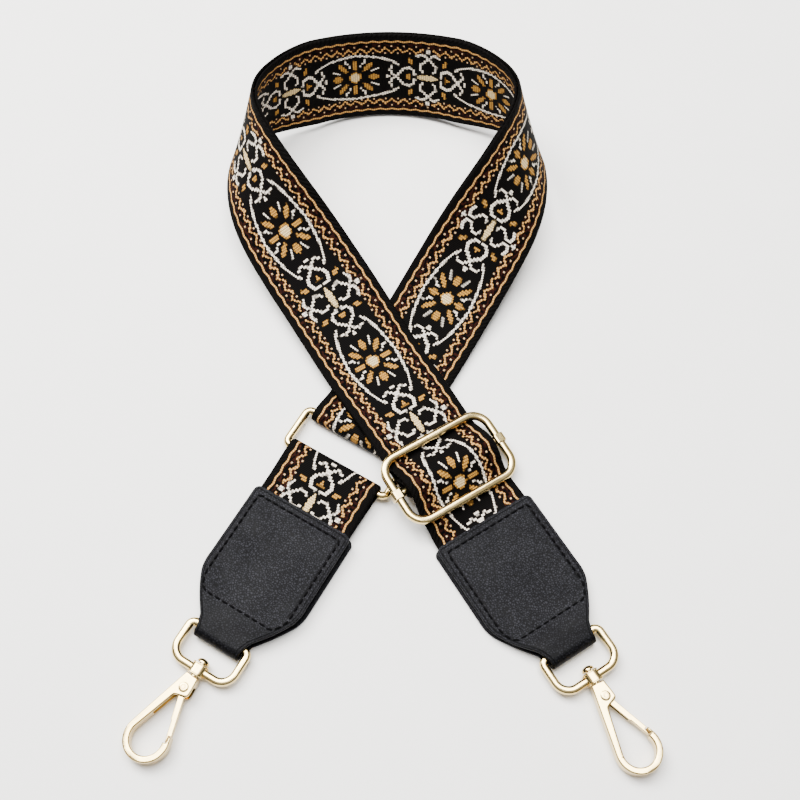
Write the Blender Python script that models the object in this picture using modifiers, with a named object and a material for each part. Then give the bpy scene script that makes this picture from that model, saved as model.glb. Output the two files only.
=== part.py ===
"""Detachable bag strap with patterned webbing, a slide adjuster and two swivel snap hooks.

The strap lies flat on a table: two legs cross, and the loop beyond the crossing stands up on its outer edge.
Origin: the underside of the webbing where the two legs cross.
+Y runs from the crossing to the top of the loop.
"""

import math

import bmesh
import bpy
import numpy as np
from mathutils import Matrix, Vector

MM = 0.001

# Webbing
WEB_WIDTH = 38.0 * MM
WEB_THICKNESS = 1.3 * MM
LAYER_GAP = 0.3 * MM
FIT_GAP = 0.3 * MM
SMALL_GAP = 0.2 * MM

# The loop of doubled webbing, measured along its middle line from the top of the loop
TOP_LEAN = 107.6
LEAN_START = 30.8 * MM
LEAN_END = 204.5 * MM
LEAN_EASE = 0.66
ARC_RADIUS = 72.0 * MM
ARC_END = 110.4 * MM
ARC_FADE = 15.7 * MM
CORNER_ANGLE = 41.4
CORNER_AT = 66.6 * MM
CORNER_SPAN = 24.0 * MM
LIFT_ANGLE = 23.5
LIFT_AT = 163.3 * MM
LIFT_SPAN = 52.0 * MM
LOOP_STEP = 4.4 * MM

# Wire parts
WIRE_RADIUS = 1.5 * MM
RING_ROOM = 2.0 * MM
RING_INNER_HEIGHT = 13.0 * MM
RING_CORNER = 2.2 * MM
RING_AT_SHARE = 22.8 / 38
SIDE_PLAY = 0.4 * MM
SLIDER_ROOM = 4.0 * MM
SLIDER_INNER_HEIGHT = 23.4 * MM
SLIDER_CORNER = 6.4 * MM
SLIDER_AT_SHARE = 40.0 / 38
SLIDER_ROLL = 7.0
SLIDER_PITCH = 6.2
SLIDER_WEB_HEIGHT = 5.9 * MM
COLLAR_WALL = 0.6 * MM
BAR_COLLAR_LENGTH = 3.6 * MM
TAIL_LENGTH = 5.0 * MM

# Leather end tabs
LEATHER = 1.4 * MM
TAB_MARGIN = 1.2 * MM
TAB_NECK_HALF_WIDTH = 9.1 * MM
TAB_LENGTH = 57.0 * MM
TAB_CORNER = 2.2 * MM
SLIDER_TO_TAB = 23.2 * MM
RING_TO_TAB = 35.8 * MM
WEB_IN_TAB = 37.0 * MM
BAR_PLAY = 1.1 * MM

# Seam on each tab's front
THREAD_RADIUS = 0.3 * MM
SEAM_INSET = 2.9 * MM
SEAM_TOP = 3.2 * MM
SEAM_SIDE_END = 36.0 * MM
SEAM_FOOT = 42.5 * MM
SEAM_FOOT_INSET = 3.3 * MM

# D-ring
D_HALF_WIDTH = 11.8 * MM
D_LENGTH = 13.5 * MM
D_TOP_CORNER = 2.2 * MM
D_BOTTOM_CORNER = 5.2 * MM
D_SIDE_PLAY = 0.5 * MM
COLLAR_RADIUS = 3.0 * MM
COLLAR_WAIST = 2.6 * MM
COLLAR_LENGTH = 4.2 * MM
COLLAR_RIM = 0.7 * MM
POST_RADIUS = 1.15 * MM
POST_SEAT = 2.2 * MM
DOME_RADIUS = 2.1 * MM
DOME_HEIGHT = 1.5 * MM

# Snap hook
HOOK_LENGTH = 35.5 * MM
HOOK_THICKNESS = 4.7 * MM
HOOK_EDGE = 0.7 * MM
BOW_RADIUS = 8.0 * MM
HOOK_TURN = -3.0
SWIVEL_GAP = 0.45 * MM
BOW_WIDTH = 2.4 * MM
HEAD_LENGTH = 8.4 * MM
HEAD_TOP_HALF = 2.6 * MM
HEAD_HALF = 3.3 * MM
PIN_FROM_COLLAR = 7.4 * MM
PIN_RADIUS = 0.8 * MM
PIN_HEAD_RADIUS = 1.75 * MM
PIN_HEAD_HEIGHT = 0.35 * MM
SLOT_WIDTH = 3.2 * MM
SLOT_WALL = 1.2 * MM
GATE_THICKNESS = 2.8 * MM
GATE_TONGUE = 1.0 * MM
GATE_WIDTH = 2.3 * MM
GATE_LENGTH = 18.0 * MM
GATE_ROOT_RADIUS = 1.5 * MM
SPRING_RADIUS = 1.3 * MM
SPRING_WIRE = 0.15 * MM
SPRING_TURNS = 1.75
SPRING_LEG = 0.5 * MM
OVERRUN = 2.0 * MM

# Counts and shares
CURVE_STEPS = 6
ROUND_STEPS = 24
COIL_STEPS = 10
TAB_COLUMNS = 4
WEB_COLUMNS = 2
FULL_TURN = 360

# Share of the tab length, share of the way from neck to full half-width
TAB_OUTLINE_SHARES = (
    (0.0, 1.0), (0.1, 1.0), (0.3, 1.0), (0.5, 1.0), (0.585, 0.995), (0.635, 0.94), (0.68, 0.83),
    (0.74, 0.64), (0.79, 0.45), (0.83, 0.275), (0.865, 0.12), (0.893, 0.03), (0.94, 0.0), (1.0, 0.0),
)
# Where each leg comes to rest flat on the table: share of the webbing's width from the crossing
SETTLE_SHARES = (-0.65, -0.2)
# How the right leg is lifted over the left one: share of the webbing's width from the crossing towards
# the slider, share of the fold's height, share of the slider's roll
LEG_LIFT_SHARES = (
    (0.63, 0.76, 0.97), (0.5, 0.8, 0.85), (0.26, 0.81, 0.56), (0.0, 0.71, 0.32),
    (-0.26, 0.625, 0.06), (-0.53, 0.6, 0.0), (-0.82, 0.58, 0.0),
)
LEG_FADE_SHARE = 1.2
RING_FOLD_SHARE = 0.34
# Share of the way down the tab where its front starts and ends its rise, and where its rows of points lie
TAB_RISE_SHARES = (0.74, 0.93)
TAB_ROW_SHARES = (0.25, 0.5, 0.58, 0.64, 0.69, 0.74, 0.79, 0.84, 0.885, 0.93)
TAB_CORNER_SHARES = (0.0, 0.06, 0.2, 0.45, 1.0)
SEAM_TURN_SHARE = 0.55
# Where the inside of the hook's bow starts on its head: share of the bow's width across and up
HEAD_STEP_SHARES = (0.8, 0.2)
# The double ring on the pin's head: share of its radius, of the ring for its two sides, and of its height
PIN_RING_SHARE = 0.55
PIN_SIDE_SHARES = (0.85, 1.15)
PIN_GROOVE_SHARE = 0.4

# Worked out from the sizes above
LAYER_STEP = WEB_THICKNESS + LAYER_GAP
LEG_HEIGHT = WEB_THICKNESS + LAYER_GAP / 2
WRAP_RADIUS = WIRE_RADIUS + FIT_GAP + WEB_THICKNESS / 2
WIRE_HEIGHT = WEB_THICKNESS + FIT_GAP + WIRE_RADIUS
FOLD_HEIGHT = WIRE_HEIGHT + WRAP_RADIUS + WEB_THICKNESS / 2
RING_REACH = RING_INNER_HEIGHT + 2 * WIRE_RADIUS
SLIDER_REACH = SLIDER_INNER_HEIGHT / 2 + WIRE_RADIUS
TAB_BAR_GAP = 2 * (WIRE_RADIUS + FIT_GAP)
TAB_BAR_HEIGHT = LEATHER + TAB_BAR_GAP / 2
TAB_FOLD_RADIUS = (TAB_BAR_GAP + LEATHER) / 2
TAB_FOLD_AT = TAB_LENGTH - TAB_FOLD_RADIUS - LEATHER / 2
TAB_WEB_HEIGHT = LEATHER + SMALL_GAP + WEB_THICKNESS / 2
HALF = WEB_WIDTH / 2
RING_INNER_WIDTH = WEB_WIDTH + RING_ROOM
RING_FROM_CROSSING = WEB_WIDTH * RING_AT_SHARE
SLIDER_INNER_WIDTH = WEB_WIDTH + SLIDER_ROOM
SLIDER_FROM_CROSSING = WEB_WIDTH * SLIDER_AT_SHARE
RIGHT_TAB_FROM_CROSSING = SLIDER_FROM_CROSSING + SLIDER_TO_TAB
LEFT_TAB_FROM_CROSSING = RING_FROM_CROSSING + RING_TO_TAB
TAB_HALF_WIDTH = HALF + TAB_MARGIN
SEAM_HALF_WIDTH = TAB_HALF_WIDTH - SEAM_INSET
SEAM_FOOT_HALF = SEAM_HALF_WIDTH - SEAM_FOOT_INSET

PARTS = None
CUTTERS = None
MATERIALS = {}


def clear_scene():
    for obj in list(bpy.data.objects):
        bpy.data.objects.remove(obj, do_unlink=True)


def make_collections():
    global PARTS, CUTTERS
    PARTS = bpy.data.collections.new("detachable_bag_strap")
    CUTTERS = bpy.data.collections.new("cutters")
    for group in (PARTS, CUTTERS):
        bpy.context.scene.collection.children.link(group)
    CUTTERS.hide_render = True


def make_material(name, colour, roughness, metallic):
    material = bpy.data.materials.new(name)
    material.use_nodes = True
    shader = material.node_tree.nodes["Principled BSDF"]
    shader.inputs["Base Color"].default_value = (*colour, 1.0)
    shader.inputs["Roughness"].default_value = roughness
    shader.inputs["Metallic"].default_value = metallic
    return material


def finish_of(node, kind):
    """Each node has a material of its own, in the finish of its kind."""
    colour, roughness, metallic = {
        "webbing": ((0.055, 0.04, 0.03), 0.85, 0.0),
        "leather": ((0.02, 0.02, 0.024), 0.5, 0.0),
        "gold": ((0.83, 0.66, 0.42), 0.18, 1.0),
        "spring": ((0.5, 0.5, 0.52), 0.35, 1.0),
        "thread": ((0.015, 0.015, 0.017), 0.7, 0.0),
    }[kind]
    return make_material(node + "_" + kind, colour, roughness, metallic)


def shade_smooth(mesh):
    mesh.shade_smooth()
    mesh.set_sharp_from_angle(angle=math.radians(40))


def add_node(name, mesh, kind, parent=None):
    obj = bpy.data.objects.new(name, mesh)
    PARTS.objects.link(obj)
    mesh.materials.append(finish_of(name, kind))
    if parent is not None:
        obj.parent = parent
    return obj


def add_frame(name, matrix, parent=None):
    """An empty that carries the pieces which turn together."""
    empty = bpy.data.objects.new(name, None)
    PARTS.objects.link(empty)
    empty.parent = parent
    empty.matrix_local = matrix
    return empty


def mesh_of_curve(curve, name):
    """The solid of a curve as a mesh with its caps welded on."""
    holder = bpy.data.objects.new(name + "_curve", curve)
    PARTS.objects.link(holder)
    graph = bpy.context.evaluated_depsgraph_get()
    mesh = bpy.data.meshes.new_from_object(holder.evaluated_get(graph))
    bpy.data.objects.remove(holder, do_unlink=True)
    work = bmesh.new()
    work.from_mesh(mesh)
    bmesh.ops.remove_doubles(work, verts=work.verts, dist=0.00001)
    bmesh.ops.recalc_face_normals(work, faces=work.faces)
    work.to_mesh(mesh)
    work.free()
    mesh.materials.clear()
    mesh.name = name
    shade_smooth(mesh)
    return mesh


def wire_mesh(name, points, radius, closed=True, rounding=2):
    curve = bpy.data.curves.new(name, "CURVE")
    curve.dimensions = "3D"
    curve.bevel_depth = radius
    curve.bevel_resolution = rounding
    curve.use_fill_caps = not closed
    spline = curve.splines.new("POLY")
    spline.points.add(len(points) - 1)
    for spot, point in zip(spline.points, points):
        spot.co = (*point, 1.0)
    spline.use_cyclic_u = closed
    return mesh_of_curve(curve, name)


def outline_mesh(name, points, thickness, edge):
    """A flat outline, rounded at its edges. The rounding grows outwards, so the points lie inside it."""
    curve = bpy.data.curves.new(name, "CURVE")
    curve.dimensions = "2D"
    curve.fill_mode = "BOTH"
    curve.bevel_depth = edge
    curve.bevel_resolution = 1
    curve.offset = -edge
    curve.extrude = thickness / 2 - edge
    spline = curve.splines.new("POLY")
    spline.points.add(len(points) - 1)
    for spot, point in zip(spline.points, points):
        spot.co = (point[0], point[1], 0.0, 1.0)
    spline.use_cyclic_u = True
    return mesh_of_curve(curve, name)


def turned_object(name, profile, kind, parent, matrix):
    """A profile of (radius, height) turned about its own Z axis."""
    mesh = bpy.data.meshes.new(name)
    mesh.from_pydata([(r, 0.0, h) for r, h in profile], [(i, i + 1) for i in range(len(profile) - 1)], [])
    obj = add_node(name, mesh, kind, parent)
    obj.matrix_local = matrix
    screw = obj.modifiers.new("turn", "SCREW")
    screw.steps = screw.render_steps = ROUND_STEPS
    screw.use_merge_vertices = True
    screw.merge_threshold = 0.00001
    screw.use_smooth_shade = True
    return obj


def cylinder_cutter(name, radius, length, matrix, parent):
    work = bmesh.new()
    bmesh.ops.create_cone(
        work, cap_ends=True, segments=ROUND_STEPS, radius1=radius, radius2=radius, depth=length
    )
    return add_cutter(name, work, matrix, parent)


def box_cutter(name, low, high, parent):
    work = bmesh.new()
    bmesh.ops.create_cube(work, size=1.0)
    size = Vector(high) - Vector(low)
    bmesh.ops.scale(work, vec=size, verts=work.verts)
    return add_cutter(name, work, Matrix.Translation((Vector(high) + Vector(low)) / 2), parent)


def add_cutter(name, work, matrix, parent):
    mesh = bpy.data.meshes.new(name)
    work.to_mesh(mesh)
    work.free()
    obj = bpy.data.objects.new(name, mesh)
    CUTTERS.objects.link(obj)
    obj.parent = parent
    obj.matrix_local = matrix
    obj.hide_render = True
    obj.display_type = "WIRE"
    return obj


def boolean(target, other, operation="DIFFERENCE"):
    step = target.modifiers.new(other.name, "BOOLEAN")
    step.operation = operation
    step.solver = "EXACT"
    step.object = other


def round_corner(centre, radius, start, end, steps):
    """Points on an arc, angles in degrees."""
    return [
        (
            centre[0] + radius * math.cos(math.radians(start + (end - start) * i / steps)),
            centre[1] + radius * math.sin(math.radians(start + (end - start) * i / steps)),
        )
        for i in range(steps + 1)
    ]


def rounded_rectangle(half_x, low_y, high_y, low_corner, high_corner):
    points = []
    points += round_corner((half_x - high_corner, high_y - high_corner), high_corner, 0, 90, CURVE_STEPS)
    points += round_corner((-half_x + high_corner, high_y - high_corner), high_corner, 90, 180, CURVE_STEPS)
    points += round_corner((-half_x + low_corner, low_y + low_corner), low_corner, 180, 270, CURVE_STEPS)
    points += round_corner((half_x - low_corner, low_y + low_corner), low_corner, 270, 360, CURVE_STEPS)
    return points


def ease(value, start, end):
    share = np.clip((value - start) / (end - start), 0, 1)
    return 0.5 - 0.5 * np.cos(math.pi * share)


def bump(value, middle, span):
    return 0.5 + 0.5 * np.cos(math.pi * np.clip((value - middle) / span, -1, 1))


def smooth_line(places, values, at):
    """A smooth curve through hand-set places: cubic pieces whose slopes are those of their neighbours."""
    places, values = np.asarray(places), np.asarray(values)
    slopes = np.gradient(values, places)
    i = int(np.clip(np.searchsorted(places, at) - 1, 0, len(places) - 2))
    width = places[i + 1] - places[i]
    u = float(np.clip((at - places[i]) / width, 0, 1))
    return (
        values[i] * (1 + 2 * u) * (1 - u) ** 2
        + values[i + 1] * u * u * (3 - 2 * u)
        + width * slopes[i] * u * (1 - u) ** 2
        - width * slopes[i + 1] * u * u * (1 - u)
    )


def strap_frame(heading, pitch, lean):
    """Travel, width (towards the loop's inner edge) and upper-face directions of the leaning strap."""
    travel = np.array(
        (math.cos(pitch) * math.cos(heading), math.cos(pitch) * math.sin(heading), math.sin(pitch))
    )
    inward = np.array((-math.sin(heading), math.cos(heading), 0.0))
    up = np.cross(travel, inward)
    width = math.cos(lean) * inward + math.sin(lean) * up
    face = math.cos(lean) * up - math.sin(lean) * inward
    return travel, width, face


def half_loop(lift_bend, lift_at):
    """The strap from the top of the loop, down its left side, to the flat leg.

    A strap bends only across its face, so its direction turns about its own width, and the lean decides
    how much of each bend shows as a turn in plan and how much as a rise.
    """
    count = int(round((LEAN_END + WEB_WIDTH) / LOOP_STEP)) + 1
    along = np.linspace(0, LEAN_END + WEB_WIDTH, count)
    step = along[1]
    middle = (along[:-1] + along[1:]) / 2

    def lean_at(place):
        share = np.clip((place - LEAN_START) / (LEAN_END - LEAN_START), 0, 1) ** LEAN_EASE
        return math.radians(TOP_LEAN) * (1 - ease(share, 0, 1))

    bend = (
        (1 - ease(middle, ARC_END, ARC_END + ARC_FADE)) / ARC_RADIUS
        + math.radians(CORNER_ANGLE) / CORNER_SPAN * bump(middle, CORNER_AT, CORNER_SPAN)
        - math.radians(lift_bend) / LIFT_SPAN * bump(middle, lift_at, LIFT_SPAN)
    )
    heading, pitch = math.pi, 0.0
    lean = math.radians(TOP_LEAN)
    centre = np.array((0.0, 0.0, HALF * math.sin(lean) + LEG_HEIGHT * abs(math.cos(lean))))
    stations = [(centre, *strap_frame(heading, pitch, lean_at(0.0))[1:])]
    for place, end, curl in zip(middle, along[1:], bend):
        lean = lean_at(place)
        turn = curl * math.sin(lean) * step / math.cos(pitch)
        rise = -curl * math.cos(lean) * step
        centre = centre + strap_frame(heading + turn / 2, pitch + rise / 2, lean)[0] * step
        heading, pitch = heading + turn, pitch + rise
        stations.append((centre, *strap_frame(heading, pitch, lean_at(end))[1:]))
    return stations, heading, pitch


def settled_half_loop():
    """Finds the bend that lifts the strap off the table and its place, so that the leg ends flat on it."""
    guess = np.array((LIFT_ANGLE, LIFT_AT))
    nudge = np.array((0.05, LIFT_AT / 1000))

    def misses(values):
        stations, heading, pitch = half_loop(*values)
        return np.array(((stations[-1][0][2] - LEG_HEIGHT) / WEB_WIDTH, pitch))

    for _ in range(12):
        miss = misses(guess)
        slopes = [(misses(guess + nudge * axis) - miss) / nudge[i] for i, axis in enumerate(np.eye(2))]
        slopes = np.array(slopes).T
        guess = guess - np.linalg.solve(slopes, miss)
    return half_loop(*guess)


def loop_halves():
    """The loop's left and right halves from its top to beyond the crossing, and the right leg's direction.

    Each station is (centre, width direction, upper-face direction), in the middle of the two layers.
    """
    stations, heading, _ = settled_half_loop()
    travel = np.array((math.cos(heading), math.sin(heading), 0.0))
    last = stations[-1][0]
    crossing = last[1] - travel[1] * last[0] / travel[0]
    inward, up = np.array((-travel[1], travel[0], 0.0)), np.array((0.0, 0.0, 1.0))
    left = []
    for centre, width, face in stations:
        centre = centre - np.array((0.0, crossing, 0.0))
        place = float(np.dot(centre, travel)) / WEB_WIDTH
        rest = float(ease(place, *SETTLE_SHARES))
        centre[2] += (LEG_HEIGHT - centre[2]) * rest
        width = width * (1 - rest) + inward * rest
        face = face * (1 - rest) + up * rest
        left.append((centre, width / np.linalg.norm(width), face / np.linalg.norm(face)))
    mirror = np.array((-1.0, 1.0, 1.0))
    right = [(centre * mirror, width * mirror, face * mirror) for centre, width, face in left]
    return left, right, travel


def layer(stations, side):
    """One layer of the doubled webbing: side 1 is the patterned upper one, -1 the one below it."""
    return [(centre + face * side * LAYER_STEP / 2, width) for centre, width, face in stations]


def strip_object(name, stations, half_widths, thickness, columns, kind, parent=None):
    """A band of even thickness: rows of points across it, made solid by Solidify."""
    points, faces = [], []
    for (centre, width), half in zip(stations, half_widths):
        points += [Vector(centre) + Vector(width) * half * (2 * k / columns - 1) for k in range(columns + 1)]
    row = columns + 1
    for i in range(len(stations) - 1):
        low, high = i * row, (i + 1) * row
        faces += [(low + k, low + k + 1, high + k + 1, high + k) for k in range(columns)]
    mesh = bpy.data.meshes.new(name)
    mesh.from_pydata(points, [], faces)
    shade_smooth(mesh)
    obj = add_node(name, mesh, kind, parent)
    solidify = obj.modifiers.new("thickness", "SOLIDIFY")
    solidify.thickness = thickness
    solidify.offset = 0.0
    solidify.use_even_offset = True
    return obj


class Leg:
    """A leg of the strap as a line on the table: distance from the crossing, left of it, and height."""

    def __init__(self, direction):
        self.away = np.array((direction[0], direction[1], 0.0)) / math.hypot(direction[0], direction[1])
        self.left = np.array((-self.away[1], self.away[0], 0.0))

    def point(self, distance, left=0.0, height=0.0):
        return self.away * distance + self.left * left + np.array((0.0, 0.0, height))

    def matrix(self, distance, left=0.0, height=0.0):
        """A frame whose -Y points along the leg, away from the crossing."""
        turn = math.atan2(self.away[1], self.away[0]) + math.pi / 2
        return Matrix.Translation(self.point(distance, left, height)) @ Matrix.Rotation(turn, 4, "Z")


def slider_axes(leg):
    """Directions up the leg, to the loop's outer side, and out of the slider's face, and its middle."""
    pitch, roll = math.radians(SLIDER_PITCH), math.radians(SLIDER_ROLL)
    along = -leg.away * math.cos(pitch) + np.array((0.0, 0.0, math.sin(pitch)))
    level = -leg.left
    up = np.cross(along, level)
    side = level * math.cos(roll) + up * math.sin(roll)
    out = up * math.cos(roll) - level * math.sin(roll)
    upper_bar = leg.point(SLIDER_FROM_CROSSING - SLIDER_REACH, 0.0, SLIDER_WEB_HEIGHT)
    middle = upper_bar - along * SLIDER_REACH + out * (WRAP_RADIUS + LAYER_STEP / 2)
    return along, side, out, middle


def slider_top_layer(axes):
    """The patterned layer from the slider's upper bar to its lower bar, over the middle bar."""
    along, side, out, middle = axes
    crest = WRAP_RADIUS + LAYER_STEP
    stations = []
    for x in np.linspace(SLIDER_REACH, -SLIDER_REACH, 23):
        height = -WRAP_RADIUS + (crest + WRAP_RADIUS) * (0.5 + 0.5 * math.cos(math.pi * x / SLIDER_REACH))
        stations.append((middle + along * x + out * height, -side))
    return stations


def slider_wrap(axes):
    """The lower layer from the upper bar, round the middle bar, to its sewn tail."""
    along, side, out, middle = axes
    start = -WRAP_RADIUS - LAYER_STEP
    stations = []
    for x in np.linspace(SLIDER_REACH, 0, 8):
        height = start + LAYER_STEP * (1 - ease(x, 0, SLIDER_REACH * 0.75))
        stations.append((middle + along * x + out * height, -side))
    for angle in np.arange(-105, -316, -15):
        turn = math.radians(angle)
        spot = along * math.cos(turn) * WRAP_RADIUS + out * math.sin(turn) * WRAP_RADIUS
        stations.append((middle + spot, -side))
    leave = (along - out) / math.sqrt(2)
    knee = stations[-1][0]
    stations += [(knee + leave * TAIL_LENGTH * share, -side) for share in (0.5, 1.0)]
    return stations


def lifted_leg(leg, axes, half):
    """The loop's left half from the slider's upper bar to its top, lifted over the left leg.

    The right leg lies over the left one and over the webbing folded round the ring, so it is raised there
    and rolled about its own length.
    """
    along, side, out, middle = axes
    bar = SLIDER_FROM_CROSSING - SLIDER_REACH
    nose = bar - SLIDER_REACH / 8
    low = SLIDER_WEB_HEIGHT - LEG_HEIGHT
    nose_lift = low + math.tan(math.radians(SLIDER_PITCH)) * (bar - nose)
    table = [(bar, low, SLIDER_ROLL), (nose, nose_lift, SLIDER_ROLL)]
    for share, lift, roll in LEG_LIFT_SHARES:
        table.append((share * WEB_WIDTH, lift * FOLD_HEIGHT, roll * SLIDER_ROLL))
    places = [-row[0] for row in table]
    end, last_lift = places[-1], table[-1][1]
    start = middle + along * SLIDER_REACH - out * (WRAP_RADIUS + LAYER_STEP / 2)
    lifted = [(start, -side, out)]
    for centre, width, face in reversed(half):
        place = -float(np.dot(centre, leg.away))
        if place < -bar + LOOP_STEP / 3:
            continue
        lift = smooth_line(places, [row[1] for row in table], place)
        if place > end:
            lift = last_lift * (1 - ease(place, end, end + LEG_FADE_SHARE * WEB_WIDTH))
        roll = math.radians(smooth_line(places, [row[2] for row in table], place))
        lifted.append((
            centre + np.array((0.0, 0.0, lift)),
            width * math.cos(roll) - face * math.sin(roll),
            face * math.cos(roll) + width * math.sin(roll),
        ))
    return lifted


def tab_entry(leg, first):
    """The single layer from inside the right tab up to the slider's lower bar."""
    top = RIGHT_TAB_FROM_CROSSING
    start = leg.point(top, 0.0, TAB_WEB_HEIGHT)
    inside = [leg.point(top + WEB_IN_TAB * share, 0.0, TAB_WEB_HEIGHT) for share in (1.0, 0.5, 0.0)]
    stations = [(point, leg.left) for point in inside]
    end, width = first
    run = float(np.linalg.norm((end - start)[:2]))
    slope = run * math.tan(math.radians(SLIDER_PITCH))
    for share in np.linspace(0, 1, 8)[1:-1]:
        eased = share * share * (3 - 2 * share)
        centre = start + (end - start) * share
        centre[2] = start[2] + (end[2] - start[2]) * eased + slope * share * share * (share - 1)
        across = leg.left * (1 - eased) + width * eased
        stations.append((centre, across / np.linalg.norm(across)))
    return stations


def ring_fold(leg, left, bar_at, start, top_rest, low_rest, toward):
    """A band's fold round one of the ring's bars: up over the bar from its start, round it and back below.

    toward is 1 where the fold faces away from the crossing and -1 where it faces the crossing.
    """
    high, low = WIRE_HEIGHT + WRAP_RADIUS, WIRE_HEIGHT - WRAP_RADIUS
    path = [
        (start + (bar_at - start) * share, top_rest + (high - top_rest) * ease(share, 0, 1))
        for share in np.linspace(0, 1, 7)[:-1]
    ]
    for angle in np.arange(90, -91, -15):
        turn = math.radians(angle)
        reach = toward * WRAP_RADIUS * math.cos(turn)
        path.append((bar_at + reach, WIRE_HEIGHT + WRAP_RADIUS * math.sin(turn)))
    path += [
        (bar_at + (start - bar_at) * share, low + (low_rest - low) * ease(share, 0, 1))
        for share in np.linspace(0, 1, 5)[1:]
    ]
    return [(leg.point(place, left, height), -leg.left * toward) for place, height in path]


def build_main_webbing(right_leg, left_leg, halves, axes):
    """The long band: one continuous strip, doubled in the loop and single at the right tab."""
    left_half, right_half, _ = halves
    fold_start = RING_FROM_CROSSING - WEB_WIDTH * RING_FOLD_SHARE
    doubled = lifted_leg(right_leg, axes, left_half)
    for centre, width, face in right_half[1:]:
        if float(np.dot(centre, left_leg.away)) < fold_start - LOOP_STEP / 3:
            doubled.append((centre, width, face))
    top = slider_top_layer(axes)[::-1]
    fold = ring_fold(
        left_leg, 0.0, RING_FROM_CROSSING, fold_start, LEG_HEIGHT + LAYER_STEP / 2, WEB_THICKNESS / 2, 1
    )
    stations = tab_entry(right_leg, top[0]) + top[:-1] + layer(doubled, 1) + fold
    stations += layer(doubled, -1)[::-1][:-1] + slider_wrap(axes)
    stations = drop_repeats(stations)
    strip_object("main_webbing", stations, [HALF] * len(stations), WEB_THICKNESS, WEB_COLUMNS, "webbing")


def drop_repeats(stations):
    kept = [stations[0]]
    for station in stations[1:]:
        if np.linalg.norm(station[0] - kept[-1][0]) > WEB_THICKNESS / 4:
            kept.append(station)
    return kept


def build_short_webbing(leg):
    """The short band from the ring into the left tab: both of its ends are sewn inside the leather."""
    bar_at = RING_FROM_CROSSING + RING_INNER_HEIGHT + 2 * WIRE_RADIUS
    tab_top = LEFT_TAB_FROM_CROSSING
    inside = tab_top + WEB_IN_TAB
    left = -2 * SIDE_PLAY
    upper, lower = TAB_WEB_HEIGHT + LAYER_STEP, TAB_WEB_HEIGHT
    run_start = tab_top - WEB_THICKNESS * 2
    path = [(leg.point(place, left, upper), leg.left) for place in (inside, (inside + tab_top) / 2, tab_top)]
    path += ring_fold(leg, left, bar_at, run_start, upper, lower, -1)
    path += [(leg.point(place, left, lower), leg.left) for place in (tab_top, (inside + tab_top) / 2, inside)]
    path = drop_repeats(path)
    strip_object("short_webbing", path, [HALF] * len(path), WEB_THICKNESS, WEB_COLUMNS, "webbing")


def tab_half_width(place):
    """Half-width of the leather at a distance from its top edge."""
    shares = np.array(TAB_OUTLINE_SHARES)
    share = smooth_line(shares[:, 0], shares[:, 1], place / TAB_LENGTH)
    half = TAB_NECK_HALF_WIDTH + (TAB_HALF_WIDTH - TAB_NECK_HALF_WIDTH) * share
    if place < TAB_CORNER:
        half -= TAB_CORNER - math.sqrt(TAB_CORNER**2 - (TAB_CORNER - place) ** 2)
    return half


def tab_front_height(place, layers):
    """Height of the middle of the front leather at a distance from the tab's top edge."""
    flat = LEATHER / 2 + TAB_WEB_HEIGHT + (layers - 1) * LAYER_STEP + WEB_THICKNESS / 2 + SMALL_GAP
    rise = ease(place / TAB_FOLD_AT, *TAB_RISE_SHARES)
    return flat + (TAB_BAR_HEIGHT + TAB_FOLD_RADIUS - flat) * rise


def build_tab(side, layers, matrix):
    """One dumbbell of leather folded round the D-ring's bar, its two faces sewn over the webbing."""
    name = "leather_tab_" + side
    frame = add_frame(name + "_frame", matrix)
    corner = [TAB_CORNER * share for share in TAB_CORNER_SHARES]
    flat = [TAB_FOLD_AT * share for share in TAB_ROW_SHARES]
    path = [(place, LEATHER / 2) for place in corner + flat]
    for angle in np.arange(-90, 91, 20):
        turn = math.radians(angle)
        out, up = TAB_FOLD_RADIUS * math.cos(turn), TAB_FOLD_RADIUS * math.sin(turn)
        path.append((TAB_FOLD_AT + out, TAB_BAR_HEIGHT + up))
    path += [(place, tab_front_height(place, layers)) for place in reversed(corner + flat)]
    stations = [((0.0, -place, height), (1.0, 0.0, 0.0)) for place, height in path]
    halves = [tab_half_width(place) for place, _ in path]
    strip_object(name, stations, halves, LEATHER, TAB_COLUMNS, "leather", frame)
    return frame


def build_seam(side, layers, frame):
    """The seam's thread on the front of a tab, as one closed line along its stitches."""
    lift = LEATHER / 2 + SMALL_GAP + THREAD_RADIUS
    line = [(share * SEAM_HALF_WIDTH, SEAM_TOP) for share in (-1.0, -0.5, 0.0, 0.5, 1.0)]
    line += [(SEAM_HALF_WIDTH, SEAM_SIDE_END / 2), (SEAM_HALF_WIDTH, SEAM_SIDE_END)]
    turn = [(SEAM_FOOT_HALF + SEAM_FOOT_INSET * SEAM_TURN_SHARE, (SEAM_SIDE_END + SEAM_FOOT) / 2)]
    turn += [(SEAM_FOOT_HALF, SEAM_FOOT)]
    line += turn + [(0.0, SEAM_FOOT)] + [(-x, place) for x, place in reversed(turn)]
    line += [(-SEAM_HALF_WIDTH, SEAM_SIDE_END), (-SEAM_HALF_WIDTH, SEAM_SIDE_END / 2)]
    points = [(x, -place, tab_front_height(place, layers) + lift) for x, place in line]
    mesh = wire_mesh("seam_thread_" + side, points, THREAD_RADIUS, rounding=1)
    add_node("seam_thread_" + side, mesh, "thread", frame)


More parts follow.
